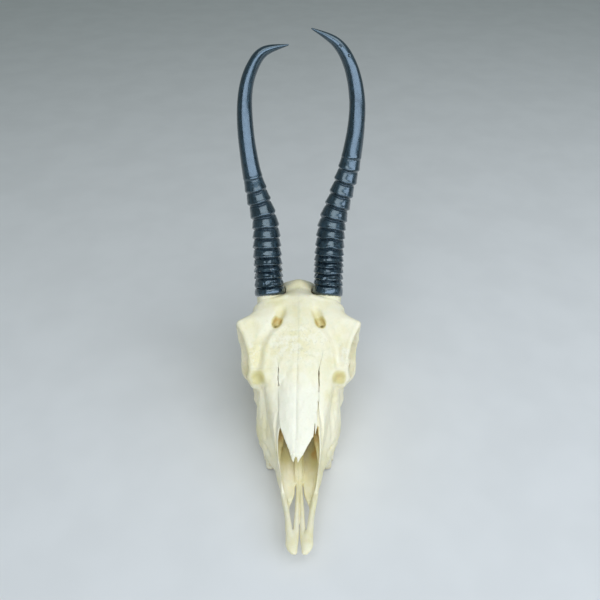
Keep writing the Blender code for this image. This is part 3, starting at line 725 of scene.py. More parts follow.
strokes = [  # view, path, radius, height, band of distances in the third direction
    ("top", [(-1.2, 112), (-1.6, 90), (-2.0, 66)], 1.3, -0.4, (40, 90)),
    # low swelling of the forehead, with a valley each side that leads down from the brow pits
    ("top", [(0, 134), (0, 118)], 24, 1.3, (60, 120)),
    ("top", [(12, 138.5), (17.5, 136), (22, 130), (24.5, 124), (25, 115), (24.5, 107)], 3.6, 0.55, (60, 120)),
    ("top", [(18.5, 140.5), (22.5, 137), (27.0, 131), (29.5, 124), (30.5, 116)], 5.5, -1.15, (60, 120)),
    ("top", [(29.5, 124), (29.5, 117)], 3.6, -0.8, (60, 120)),
    # brow pits run out as funnels towards the horns
    ("top", [(12.0, 153), (14.5, 147)], 6.0, -0.5, (60, 120)),
    ("top", [(15.0, 147.5), (17.8, 141.0)], 3.2, -0.9, (60, 120)),
    # ridge along the midline of the forehead
    ("top", [(-0.1, 168), (2.4, 158), (2.6, 148), (2.0, 139)], 8.0, 0.7, (60, 120)),
    # saddle between the horns and rims of their seats
    ("top", [(0, 170), (0, 175)], 9, -0.7, (60, 120)),
    ("top", [(10, 163.5), (17, 161.5), (26, 161.5), (33, 165)], 3.2, 0.7, (60, 120)),
    # tear pits open out towards the rim of the eye
    ("top", [(31.5, 113), (33.5, 106)], 5.0, -0.9, (50, 120)),
    # thickened rim over the eyes
    ("top", [(45.5, 143), (41.8, 136), (38.6, 129), (36.4, 121), (35.2, 114)], 3.0, 0.8, (60, 120)),
    ("top", [(35.5, 140), (32, 130)], 6.0, -0.7, (60, 120)),
    # lateral walls of the face
    ("side", [(106, 70), (101, 56), (91, 45), (82, 34)], 2.6, -0.7, (15, 45)),
    ("side", [(109, 66), (105, 54), (96, 42)], 2.6, 0.6, (15, 45)),
    ("side", [(100, 62), (90, 54), (78, 46), (66, 37)], 5.0, -0.8, (10, 45)),
    ("side", [(84, 27), (79, 27), (73, 26)], 3.4, -0.9, (10, 45)),
    ("side", [(94, 24), (104, 27), (114, 33), (121, 39)], 5.0, 0.5, (15, 50)),
    ("side", [(112, 24), (122, 27), (130, 29)], 4.0, -0.8, (15, 50)),
    # rim of the eye socket
    ("side", eyeRim(), 2.4, 0.55, (30, 60)),
    # cheek arch: a ledge along its upper half
    ("side", [(126, 44.5), (140, 43.5), (154, 45), (168, 47)], 2.2, -0.6, (34, 60)),
    ("side", [(124, 51), (138, 50.5), (152, 50)], 2.0, 0.5, (34, 60)),
    # temple: hollow, and the line where the chewing muscle ended
    ("side", [(158, 74), (172, 78), (184, 76)], 13, -1.2, (15, 45)),
    ("side", [(151, 93), (164, 89), (178, 90), (190, 86), (199, 76)], 2.4, 0.7, (12, 45)),
    ("side", [(186, 56), (192, 64), (198, 72)], 2.6, 0.8, (12, 45)),
    # back of the head
    ("rear", [(0, 60), (0, 78)], 2.6, 0.9, None),
    ("rear", [(10, 62), (12, 70)], 7, -1.1, None),
    ("rear", [(0, 80.5), (0, 83)], 4.5, 1.2, None),
    ("rear", [(19, 52), (17, 60)], 4, -0.8, None),
    # roof of the mouth and base of the skull
    ("under", [(0, 60), (0, 124)], 1.8, 0.45, (0, 40)),
    ("under", [(7.5, 112), (8.0, 116)], 1.8, -1.6, (0, 40)),
    ("under", [(7.0, 66), (8.6, 90), (8.4, 108)], 2.4, -0.6, (0, 40)),
    ("under", [(0, 165), (0, 190)], 2.4, 0.6, (0, 60)),
    ("under", [(5.5, 170), (6.5, 180)], 2.2, 0.9, (0, 60)),
    ("under", [(14, 172), (16, 182), (18, 191)], 1.6, -0.5, (0, 60)),
]
strokes += [("side", jugal(back, 11, 20), 2.4, 0.55, (15, 50)) for back in toothMiddles]
strokes += [("side", [(back + 3.2, 10), (back + 3.2, 18)], 1.2, -0.35, (15, 50)) for back in toothMiddles]

boneRelief = {  # grain and height in mm
    "fibres": (2.2, 0.22),
    "ripples": ((16.0, 0.45), (6.0, 0.16), (2.4, 0.07)),
    "sponge": (2.2, 0.12),
    "toothSockets": (2.6, 0.9),
    "fibreDraw": (1, 0.3, 0.8),  # fibres run down the face, so they are drawn out from front to back
    "muzzleShare": 0.35,  # how much of all this reaches the thin rods in front
}
softSpots = [  # places whose edges are worn round: centre, radius
    ((13.5, 148.0, 100), 11.0),
    ((32.0, 106.5, 71), 9.5),
]


def sculpt(skull):
    points, normals = readPoints(skull), readNormals(skull)
    height = np.zeros(len(points))
    for view, path, radius, amount, band in strokes:
        middle = view != "side" and np.array(path)[:, 0].min() <= 0
        for side in (1,) if middle else sides.values():
            height += amount * strokeWeight(points, normals, path, radius, view, side, band)
    back, up = points[:, 1], points[:, 2]
    grain, amount = boneRelief["fibres"]
    height += amount * (1 - fade(back, 100, 150)) * latticeNoise(points * boneRelief["fibreDraw"], grain, 5)
    for seed, (grain, amount) in enumerate(boneRelief["ripples"]):
        height += amount * latticeNoise(points, grain, 11 + seed)
    grain, amount = boneRelief["sponge"]
    height -= amount * forePorous(points, normals) * fade(latticeNoise(points, grain, 31), 0.0, 0.6)
    grain, amount = boneRelief["toothSockets"]
    gum = fade(13.5 - up, 0, 2.5) * fade(back, 70, 78) * (1 - fade(back, 140, 146))
    height += amount * gum * latticeNoise(points, grain, 37)
    height *= boneRelief["muzzleShare"] + (1 - boneRelief["muzzleShare"]) * fade(back, 46, 60)
    points = points + normals * height[:, None]
    points[:, 0] += muzzle["drift"] * (1 - fade(points[:, 1], *muzzle["driftFrom"]))
    writePoints(skull, points)
    soften(skull, softSpots)


def soften(obj, spots):
    # points near the spots move towards the mean of their neighbours
    points = readPoints(obj)
    weight = np.zeros(len(points))
    for centre, radius in spots:
        mirrored = np.column_stack([np.abs(points[:, 0]), points[:, 1:]])
        gap = np.linalg.norm(mirrored - centre, axis=1) / radius
        weight = np.maximum(weight, 1 - fade(gap, 0.75, 1.1))
    edges = readEdges(obj)
    first, second = edges.T
    counts = np.bincount(edges.ravel(), minlength=len(points)).astype(float)[:, None]
    for _ in range(round(5 / detail["bone"] ** 2)):
        total = np.empty_like(points)
        for axis in range(3):
            total[:, axis] = np.bincount(first, points[second, axis], len(points))
            total[:, axis] += np.bincount(second, points[first, axis], len(points))
        points += weight[:, None] * 0.7 * (total / counts - points)
    writePoints(obj, points)


spongyPlaces = {  # distance from the midline, half width, back, half length, amount
    "dome": (0, 21, 127, 12, 1.2),
    "eaves": (34, 5, 122, 8, 0.9),
}


def forePorous(points, normals):
    # where the outer bone of the forehead is spongy
    across, back, up = points.T
    share = np.zeros(len(points))
    for out, width, middle, length, amount in spongyPlaces.values():
        share += amount * np.exp(-(((np.abs(across) - out) / width) ** 2) - ((back - middle) / length) ** 2)
    return fade(normals[:, 2], 0.3, 0.7) * fade(up, 66, 72) * np.clip(share, 0, 1)


def insideLoft(points, stations, grow):
    # below 1 inside the loft, 1 on its wall
    across, back, up = points.T
    table = np.array(stations, float)
    top, bottom, half, widest, roof, floor = [np.interp(back, table[:, 0], column) for column in table.T[1:]]
    reach = np.where(up > widest, top - widest, widest - bottom) + grow
    power = np.where(up > widest, roof, floor)
    measure = np.abs(across / (half + grow)) ** power + np.abs((up - widest) / reach) ** power
    outside = (back < stations[0][0] - grow) | (back > stations[-1][0] + grow)
    return np.where(outside, 9, measure)


def insideEgg(points, grow, centre, radii, turn=(0, 0), side=1):
    spots = points - np.array((side * centre[0], centre[1], centre[2]))
    nod, swing = math.radians(turn[0]), math.radians(side * turn[1])
    matrix = Matrix.Rotation(nod, 3, "X") @ Matrix.Rotation(swing, 3, "Z")
    spots = spots @ np.array(matrix)
    return ((spots / (np.array(radii) + grow)) ** 2).sum(axis=1)


# real stain inside the nose; partly real stain and partly painted shade in the pits, brow funnels, eye
# sockets and brain hollow; painted shade under surfaces that face down
stainsAndShade = {  # 0 is clean bone, 1 is deep ochre
    "nose": (0.10, 0.14),  # at the opening, and added further in
    "noseCorner": (0.6, 0.014),  # and added for each mm towards the animal's left
    "cornerPlace": (12, 5.5, 74, 9.5),  # distance from the midline, half width, back, half length
    # the pits and the funnels out of them are darkened partly as real stain and partly as painted shade
    "pits": {  # on the animal's right, on its left, reach in mm, softness of the edge
        "browPit": (0.78, 0.78, 1.8, 1.35),
        "tearPit": (0.66, 0.84, 0.8, 2.0),
        "nerveHole": (0.7, 0.7, 0.6, 1.35),
        "earHole": (0.8, 0.8, 1.0, 1.35),
    },
    "browFunnel": 0.36,
    "funnelPath": ((13.5, 149), (17.0, 142)),
    "funnelReach": 6.0,
    # painted shade and stain on the inner walls of the eye sockets and in the brain hollow
    "socket": 0.42,
    "brain": 0.75,
    # painted shade under surfaces that face down
    "paintedUndersideShade": 0.28,
}


def stainAndShadeOf(points, normals):
    # yellow to ochre stain inside the nose, as the real bone has; in the pits, brow funnels, eye sockets and
    # brain hollow the darkening is partly real stain and partly painted shade; surfaces that face down get
    # painted shade
    across, back, up = points.T
    nose = 1 - fade(insideLoft(points, middleCuts["nosePassage"], 0.5), 0.9, 1.06)
    out, width, middle, length = stainsAndShade["cornerPlace"]
    corner = np.exp(-(((np.abs(across) - out) / width) ** 2) - ((back - middle) / length) ** 2)
    opening, further = stainsAndShade["nose"]
    deepest, leftward = stainsAndShade["noseCorner"]
    deep = opening + further * fade(back, 58, 80) + (deepest + leftward * across) * corner
    stain = np.maximum(0, nose * fade(back, 44, 56) * deep)
    # pits, brow funnels and eye sockets: partly real stain, partly painted shade in the hollow
    for side in sides.values():
        for name, (right, left, grow, soft) in stainsAndShade["pits"].items():
            near = 1 - fade(insideEgg(points, grow, *pairedCuts[name], side), 0.3, soft)
            stain = np.maximum(stain, (left if side > 0 else right) * near)
        path = [(side * out, back) for out, back in stainsAndShade["funnelPath"]]
        funnel = pathDistance(points[:, :2], path) / stainsAndShade["funnelReach"]
        funnel = (1 - fade(funnel, 0.2, 1.0)) * fade(up, 84, 90)
        stain = np.maximum(stain, stainsAndShade["browFunnel"] * funnel)
        socket = 1 - fade(insideEgg(points, 0.6, *pairedCuts["socket"], side), 0.8, 1.1)
        inner = 1 - fade(np.abs(across), 20, 36)
        stain = np.maximum(stain, stainsAndShade["socket"] * socket * inner)
    # brain hollow: partly real stain, partly painted shade
    hollow = 1 - fade(insideEgg(points, 0.6, *brainCut), 0.9, 1.1)
    stain = np.maximum(stain, stainsAndShade["brain"] * hollow * (1 - fade(back, 200, 210)))
    # painted shade on surfaces that face down
    under = fade(-normals[:, 2], 0.2, 0.8) * fade(up, 12, 20)
    return np.maximum(stain, stainsAndShade["paintedUndersideShade"] * under)


# Bones. The melted skull is cut along wavy sutures into the bones that a person would name.

seams = {  # (back, up) at two heights
    "muzzle": ((49.0, 14.0), (85.0, 56.0)),
    "face": ((146.0, 10.0), (105.0, 92.0)),
    "crown": ((142.0, 52.0), (187.0, 104.0)),
}
cheek = {
    "inner": 34.5,
    "middle": (140.0, 50.0),
    "profile": [(113, 43), (113, 52), (119, 55), (138, 66), (156, 73), (172, 66), (172, 30), (126, 34)],
}
cutReach = {
    "across": (-66, 66.1),
    "back": (-6, 216.1),
    "up": (-14, 122.1),
    "farBack": 330.0,
    "farSide": 90.0,
    "cheekOut": 70.0,
}


def closedGrid(name, front, behind):
    # a block between two grids of points of the same size
    rows, columns, _ = front.shape
    shift = rows * columns
    points = np.concatenate([front.reshape(-1, 3), behind.reshape(-1, 3)])
    index = np.arange(shift).reshape(rows, columns)
    far = index + shift
    faces = []
    for i in range(rows - 1):
        for j in range(columns - 1):
            faces.append((index[i, j], index[i, j + 1], index[i + 1, j + 1], index[i + 1, j]))
            faces.append((far[i, j], far[i + 1, j], far[i + 1, j + 1], far[i, j + 1]))
    rim = [*index[0, :], *index[1:, -1], *index[-1, -2::-1], *index[-2:0:-1, 0]]
    for first, second in zip(rim, rim[1:] + rim[:1]):
        faces.append((second, first, first + shift, second + shift))
    return addFaces(name, points, [tuple(int(i) for i in face) for face in faces])


def wave(points, seed):
    fine = latticeNoise(points, sutures["grain"], seed)
    broad = latticeNoise(points, sutures["grain"] * 4, seed + 1)
    return sutures["wave"] * (fine + 1.2 * broad)


def behindSeam(seamName, shift):
    # everything behind a wavy cross-cut, moved back by shift
    (lowBack, lowUp), (highBack, highUp) = seams[seamName]
    slope = (highBack - lowBack) / (highUp - lowUp)
    acrosses = np.arange(*cutReach["across"], sutures["step"])
    ups = np.arange(*cutReach["up"], sutures["step"])
    across, up = np.meshgrid(acrosses, ups)
    front = np.stack([across, lowBack + slope * (up - lowUp), up], axis=-1)
    front[..., 1] += wave(front.reshape(-1, 3), 50 + len(seamName)).reshape(up.shape) + shift
    behind = front.copy()
    behind[..., 1] = cutReach["farBack"]
    return closedGrid("region", front, behind)


def besideMidline(side):
    backs = np.arange(*cutReach["back"], sutures["step"])
    ups = np.arange(*cutReach["up"], sutures["step"])
    back, up = np.meshgrid(backs, ups)
    front = np.stack([np.zeros_like(back), back, up], axis=-1)
    ripple = wave(front.reshape(-1, 3), 71).reshape(back.shape)
    front[..., 0] = sutures["midlineShare"] * ripple + side * sutures["gap"] / 2
    behind = front.copy()
    behind[..., 0] = side * cutReach["farSide"]
    return closedGrid("region", front, behind)


def cheekBlock(side, grow):
    # the outline is cut into short steps, so that its suture can wave
    outline = []
    profile = np.array(cheek["profile"], float)
    for start, end in zip(profile, np.roll(profile, -1, axis=0)):
        steps = max(1, int(np.linalg.norm(end - start) / sutures["step"]))
        outline += [start + (end - start) * step / steps for step in range(steps)]
    outline = np.array(outline)
    spots = np.column_stack([np.full(len(outline), 40.0), outline])
    outward = outline - cheek["middle"]
    outward = outward / np.linalg.norm(outward, axis=1)[:, None]
    outline = outline + outward * (wave(spots, 83)[:, None] + grow)
    inner = cheek["inner"] - grow
    return prism("region", outline.tolist(), "across", side * inner, side * cutReach["cheekOut"])


def take(whole, name, region):
    return keepLargest(carve(showMesh(name, whole.data.copy()), region, "INTERSECT"))


def partSkull(skull, front):
    gap = sutures["gap"]
    bones = {}
    for label, side in sides.items():
        bones["zygomatic_" + label] = take(skull, "zygomatic_" + label, cheekBlock(side, 0.0))
        carve(skull, cheekBlock(side, gap))
    rear = take(skull, "rear", behindSeam("face", gap / 2))
    carve(skull, behindSeam("face", -gap / 2))
    bones["braincase"] = take(rear, "braincase", behindSeam("crown", gap / 2))
    carve(rear, behindSeam("crown", -gap / 2))
    face = take(skull, "faceHalf", behindSeam("muzzle", gap / 2))
    carve(front, behindSeam("muzzle", -gap / 2))
    for label, side in sides.items():
        bones["premaxilla_" + label] = take(front, "premaxilla_" + label, besideMidline(side))
        bones["maxilla_" + label] = take(face, "maxilla_" + label, besideMidline(side))
        bones["frontal_" + label] = take(rear, "frontal_" + label, besideMidline(side))
    for leftover in (front, face, rear, skull):
        bpy.data.objects.remove(leftover, do_unlink=True)
    return bones


# Nasal bones: two thin arched plates that taper to free tips over the nose opening.

nasalSizes = {
    "thick": 1.7,
    "half": 15.0,
    "arch": 3.4,  # how far the outer edge lies below the midline
    "lanes": 22,
    "crown": 0.55,  # swelling of each plate
    "meet": 0.4,  # how far the two plates reach into each other
    "leastWidth": 0.6,
    "waves": (0.12, 0.5),  # share of a suture's wave at the inner and the outer edge
    "freeUpTo": 76.0,  # in front of this the outer edge is free
    "freeMargin": 1.1,
    "endMargins": (3, 0.6),
    "stations": [  # back, height at the midline, inner edge, outer edge, sideways lean
        (52.2, 46.4, 1.2, 2.0, -2.5),
        (54.0, 47.4, 0.6, 3.2, -2.2),
        (57.0, 48.8, 0.0, 4.9, -1.7),
        (63.0, 52.2, 0.0, 8.0, -0.9),
        (70.0, 56.0, 0.0, 11.4, -0.3),
        (76.0, 59.3, 0.0, 13.9, 0.0),
        (80.0, 61.4, 0.0, 14.5, 0.0),
        (90.0, 66.4, 0.0, 14.8, 0.0),
        (102.0, 73.0, 0.0, 15.4, 0.0),
        (112.0, 78.7, 0.0, 15.2, 0.0),
        (117.0, 81.6, 0.0, 13.0, 0.0),
        (120.5, 83.8, 0.0, 8.6, 0.0),
        (122.5, 85.0, 0.0, 3.6, 0.0),
    ],
    "blockReach": (5.0, 2.6),  # over and below the plate, for the solid that cuts it out
    "midline": [  # (back, across) of the seam between the two
        *[(52, -2.5), (57, -2.3), (63, -2.1), (76, -1.8)],
        *[(90, -1.6), (102, -1.4), (112, -1.0), (123, 0.0)],
    ],
    "raggedTip": (1.5, 1.1),  # grain and height in mm
    "sliver": [
        (13.0, 84, 60.6, 0.9, 0.7),
        (12.7, 76, 56.8, 0.9, 0.7),
        (12.3, 71, 54.2, 0.8, 0.6),
        (12.0, 67.4, 52.2, 0.4, 0.4),
    ],
    "slitReach": (3.6, 4.5),  # below and over the edge of the nasal bone
    "notch": [(11.7, 76.5, 0.15), (11.5, 73.5, 0.4), (11.1, 69.5, 0.75), (10.6, 62.0, 1.2)],
    "slits": {  # open clefts beside the nasals: across, back, half width
        "right": [
            *[(-16.6, 118.5, 0.25), (-15.6, 114.5, 0.45), (-14.8, 111, 0.5)],
            *[(-15.4, 106, 0.45), (-14.6, 102, 0.25)],
        ],
        "left": [
            *[(18.4, 122.5, 0.25), (16.3, 115.5, 0.5), (14.8, 109.5, 0.65)],
            *[(15.1, 103, 0.55), (14.9, 98, 0.3)],
        ],
        "open": [(14.2, 92.0, 0.3), (14.3, 84.0, 0.7), (14.4, 77.0, 1.0), (14.4, 68.0, 1.3)],
    },
}


def nasalPlate(name, side, block=None):
    # block is a clearance: it gives the larger solid that holds the plate, to cut it out with
    lanes, thick = nasalSizes["lanes"], nasalSizes["thick"]
    free = nasalSizes["freeUpTo"]
    rings = []
    for back, up, inner, outer, lean in inBetween(nasalSizes["stations"], 8):
        seam = side * (float(np.interp(back, *np.array(nasalSizes["midline"]).T)) - lean)
        near = seam + (inner if inner > 0.02 else -nasalSizes["meet"])
        far = max(outer, near + nasalSizes["leastWidth"])
        if block is not None:
            spot = np.array([[side * outer, back, up]])
            innerWave, outerWave = nasalSizes["waves"]
            near = seam + innerWave * float(wave(spot * (0, 1, 0), 71)[0]) * side - block
            far = outer + outerWave * float(wave(spot, 77)[0]) + block
            spare = nasalSizes["freeMargin"] * (1 - float(fade(back, free - 8, free)))
            far = max(far + spare, near + 0.3)
        top, under = [], []
        for lane in range(lanes + 1):
            out = near + (far - near) * lane / lanes
            height = up - nasalSizes["arch"] * (out / nasalSizes["half"]) ** 2
            across = side * out + lean
            share = min(1.0, lane / lanes * 1.15)
            bulge = nasalSizes["crown"] * signedPower(max(0.0, math.sin(math.pi * share)), 0.7)
            over, below = (bulge, thick) if block is None else nasalSizes["blockReach"]
            top.append(place(across, back, height + over))
            under.append(place(across, back, height - below))
        rings.append(top + under[::-1])
    if block is not None:
        ahead, behind = nasalSizes["endMargins"]
        rings[0] = [point - Vector((0, ahead * mm, 0)) for point in rings[0]]
        rings[-1] = [point + Vector((0, behind * mm, 0)) for point in rings[-1]]
    return bridge(name, rings)


def slitBlade(stations):
    # a thin upright blade that follows the cleft down through the bone
    table = np.array(nasalSizes["stations"])
    below, over = nasalSizes["slitReach"]
    rings = []
    for across, back, half in inBetween(stations, 6):
        up = float(np.interp(back, table[:, 0], table[:, 1])) - nasalSizes["arch"]
        corners = ((-half, -below), (half, -below), (half, over), (-half, over))
        rings.append([place(across + x, back, up + z) for x, z in corners])
    return bridge("slit", rings)


def takeNasals(skull):
    gap = sutures["gap"] / 2
    grain, ragged = nasalSizes["raggedTip"]
    nasals = {}
    for label, side in sides.items():
        piece = take(skull, "nasal_" + label, nasalPlate("region", side, -gap))
        points = readPoints(piece)
        tip = 1 - fade(points[:, 1], 54, 62)
        points[:, 1] += ragged * tip * latticeNoise(points, grain, 94)
        writePoints(piece, points)
        nasals[label] = piece
    for side in sides.values():
        carve(skull, nasalPlate("region", side, gap))
    return nasals


# Cheek teeth. Each lobe is a ribbed column with a crescent of enamel round a worn hollow.

teethSizes = {
    "start": 77.0,
    "root": 17.0,  # how far up the crowns reach into the bone
    "press": 0.35,  # how much closer the teeth stand than their lengths
    "overlap": 1.12,
    "rib": 0.055,  # height of the ribs on the cheek side, as a share of the width
    "squareness": 0.72,
    "around": 44,
    "lean": 0.25,
    "outerEdge": [(77, 24.4), (92, 28.2), (108, 30.6), (124, 31.0), (140, 29.4)],
    "crowns": [  # length, width, lobes
        *[(7.6, 8.0, 1), (8.6, 9.6, 1), (8.6, 10.8, 1)],
        *[(11.4, 12.6, 2), (13.0, 13.4, 2), (13.2, 12.6, 2)],
    ],
    "wall": [  # up, share of the width, share of the length
        (17.0, 0.86, 0.84),
        (11.0, 0.91, 0.90),
        (7.5, 0.97, 0.97),
        (4.0, 1.0, 1.0),
        (1.6, 0.985, 0.98),
        # over the worn edge: enamel rim, dentine, enamel island and its pit
        (0.35, 0.93, 0.92),
        (0.15, 0.86, 0.84),
        (0.9, 0.76, 0.74),
        (1.3, 0.6, 0.56),
        (0.7, 0.46, 0.40),
        (0.6, 0.38, 0.32),
        (2.2, 0.26, 0.2),
        (3.4, 0.12, 0.08),
    ],
    "ridges": (1.2, 0.10),  # grain and height in mm
    "dents": (3.0, 0.08),
}


def lobeOutline(share, length, width):
    # a point round the lobe, as (inward from the cheek side, along the row)
    angle = 2 * math.pi * share
    across = signedPower(math.cos(angle), teethSizes["squareness"])
    lengthwise = signedPower(math.sin(angle), teethSizes["squareness"])
    rib = 0.0
    if across > 0.2:
        # the cheek wall has a rib at each end and one in the middle
        rib = teethSizes["rib"] * math.cos(3 * math.pi * lengthwise) * float(fade(across, 0.2, 0.7))
    if across < 0:
        lengthwise *= 1 - 0.42 * across * across
    return (across * 0.5 + rib) * width, lengthwise * 0.5 * length


def makeLobe(side, back, length, width, seed):
    rng = np.random.default_rng(seed)
    lean = rng.uniform(-teethSizes["lean"], teethSizes["lean"])
    middle = float(np.interp(back, *np.array(teethSizes["outerEdge"]).T)) - width / 2
    rings = []
    for up, wide, long in teethSizes["wall"]:
        ring = []
        for k in range(teethSizes["around"]):
            across, lengthwise = lobeOutline(k / teethSizes["around"], length, width)
            toEnd = abs(2 * lengthwise / length)
            cusp = 1.3 * max(0.0, across / width + 0.1) * (1 - toEnd) if up < 3 else 0
            rise = 0.5 * toEnd if up < 1.5 else 0
            tall = max(0.0, up + rise + 0.6 - cusp) if up < 3.5 else up
            shift = lean * (1 - up / teethSizes["root"])
            ring.append(place(side * (middle + across * wide), back + lengthwise * long + shift, tall))
        rings.append(ring)
    return bridge("lobe", rings)


def makeTeeth(label, side):
    lobes = []
    back = teethSizes["start"]
    for number, (length, width, count) in enumerate(teethSizes["crowns"]):
        lobeLength = length / count
        for lobe in range(count):
            centre = back + (lobe + 0.5) * lobeLength
            seed = 200 + number * 5 + lobe
            lobes.append(makeLobe(side, centre, lobeLength * teethSizes["overlap"], width, seed))
        back += length - teethSizes["press"]
    row = melt(merge(lobes, "teeth_" + label), detail["teeth"], 1)
    points, normals = readPoints(row), readNormals(row)
    (ridgeGrain, ridge), (dentGrain, dent) = teethSizes["ridges"], teethSizes["dents"]
    height = ridge * latticeNoise(points * (1, 1, 0.3), ridgeGrain, 95)
    height += dent * latticeNoise(points, dentGrain, 96)
    points = points + normals * height[:, None]
    points[:, 2] = np.maximum(points[:, 2], 0.0)
    writePoints(row, points)
    return row


def toothStain(points, normals):
    across, back, up = points.T
    pits = fade(up, 0.8, 2.6) * (1 - fade(up, 3.6, 4.6)) * fade(-normals[:, 2], -0.1, 0.5)
    necks = fade(up, 7.5, 11.5)
    joints = fade(np.abs(normals[:, 1]), 0.45, 0.9)
    worn = 0.35 + 0.65 * fade(back, 84, 96)
    return np.clip(0.8 * pits + worn * (0.3 * necks + 0.5 * joints), 0, 1)


# Inside the nose: the ploughshare bone along the floor, and what is left of the scroll bones.

noseBones = {
    "keel": [
        (0.5, 47, 17.4, 0.9, 1.0),
        (0.5, 54, 18.6, 1.5, 1.2),
        (0.4, 60, 20.0, 2.8, 1.7),
        (0.4, 67, 21.8, 2.8, 2.6),
        (0.2, 80, 24.6, 2.6, 3.8),
        (0, 100, 30, 2.2, 5.8),
        (0, 114, 36, 1.8, 7.0),
    ],
    "lip": [
        (2.4, 53, 18.9, 0.5, 1.0),
        (2.8, 59, 20.6, 0.5, 1.6),
        (2.9, 67, 23.0, 0.55, 2.4),
        (2.7, 80, 27, 0.6, 4.2),
        (2.2, 100, 33, 0.6, 6),
    ],
    "lipDrift": 0.4,  # both lips lean to the animal's left
    "shelf": [
        (14.6, 61, 31.5, 0.8, 1.0),
        (14.4, 68, 37.0, 1.8, 1.6),
        (13.4, 77, 42.0, 3.0, 1.5),
        (12.2, 88, 47, 3.8, 1.5),
        (10.4, 102, 52, 3.6, 1.2),
    ],
    "curl": [(9.8, 82, 41, 0.8, 1.6), (8.6, 90, 45, 0.8, 2.4), (7.6, 102, 50, 0.8, 2.6)],
    "crumple": (1.8, 0.25),  # grain and height in mm
}


def makeNoseInsides():
    lips = [rod("lip", noseBones["lip"], side) for side in sides.values()]
    for lip in lips:
        lip.data.transform(Matrix.Translation((noseBones["lipDrift"] * mm, 0, 0)))
    vomer = merge([rod("keel", noseBones["keel"]), *lips], "vomer")
    pieces = [melt(vomer, detail["noseInside"], 2)]
    grain, crumple = noseBones["crumple"]
    for label, side in sides.items():
        scroll = merge([rod(name, noseBones[name], side) for name in ("shelf", "curl")], "scroll_" + label)
        melt(scroll, detail["noseInside"], 1)
        points, normals = readPoints(scroll), readNormals(scroll)
        writePoints(scroll, points + normals * (crumple * latticeNoise(points, grain, 99))[:, None])
        pieces.append(keepLargest(scroll))
    return pieces


# Horn sheaths. Each follows its own curve; rings are steep on the side that faces the base.

hornSizes = {
    "right": {
        "stations": [  # across, back, up, half width
            (-22.8, 174.0, 98.0, 12.2),
            (-23.8, 181.0, 107.1, 10.9),
            (-25.2, 194.2, 125.8, 10.8),
            (-26.6, 206.5, 144.9, 10.2),
            (-32.4, 217.4, 163.5, 8.8),
            (-38.2, 229.0, 186.5, 7.0),
            (-41.3, 242.2, 215.6, 6.2),
            (-40.1, 249.8, 235.5, 5.4),
            (-34.8, 255.6, 251.2, 4.7),
            (-25.6, 259.4, 261.4, 3.7),
            (-7.3, 261.0, 265.8, 0.5),
        ],
        "collar": 6.3,
        "rings": [7.3, 5.2, 4.9, 6.2, 7.6, 7.5, 7.9, 9.2, 10.9, 9.7, 10.1, 8.3],
        "seed": 3,
        "nicks": [],
    },
    "left": {
        "stations": [
            (22.8, 174.0, 98.0, 12.2),
            (23.8, 181.0, 107.1, 11.2),
            (24.4, 194.2, 125.8, 11.2),
            (26.8, 206.5, 144.9, 10.6),
            (33.0, 217.4, 163.5, 9.0),
            (40.2, 229.0, 186.5, 8.0),
            (44.6, 242.2, 215.6, 6.4),
            (43.6, 249.8, 235.5, 5.8),
            (38.0, 256.4, 254.0, 5.0),
            (27.6, 260.8, 267.4, 3.8),
            (9.3, 263.6, 276.5, 0.5),
        ],
        "collar": 7.6,
        "rings": [4.7, 4.9, 5.3, 4.0, 4.9, 5.8, 7.6, 7.5, 7.5, 10.0, 9.6, 10.4, 10.3, 9.2, 8.0],
        "seed": 4,
        "nicks": [  # place, radius, depth
            ((50.6, 240.8, 213.5), 1.9, 1.3),
            ((30.6, 256.4, 266.2), 1.1, 0.7),
            ((37.2, 253.8, 260.2), 1.1, 0.7),
        ],
    },
}
hornRelief = {
    "ringHeight": 1.7,
    "ringProfile": [  # share of the way to the next ring, height
        *[(0.0, -0.8), (0.05, -0.85), (0.13, -0.1), (0.21, 0.6), (0.29, 0.68)],
        *[(0.45, 0.36), (0.7, 0.06), (0.92, -0.3), (1.0, -0.8)],
    ],
    "sideShare": 0.62,  # how high a ring stands at the sides, as a share of its front
    "ringsFadeOver": 26.0,
    "straightUpTo": 8,  # below this the horn keeps to the axis of its seat
    "tilt": 0.10,  # how much a ring leans, as a share of the half width
    "roughUpTo": 34.0,
    "sway": (5.0, 0.75),  # grain and height in mm, here and below
    "flakes": (2.1, 0.42),
    "fibres": (0.9, 0.015),
    "roughFibres": 0.145,  # added near the base
    "lumps": (9.0, 0.16),
    "collarBulge": 0.55,
    "collarEdge": 0.7,
    "tipLength": 9.0,
    "tipHalf": 3.4,
    "unrolled": 9.0,  # radius at which its noise is drawn
}


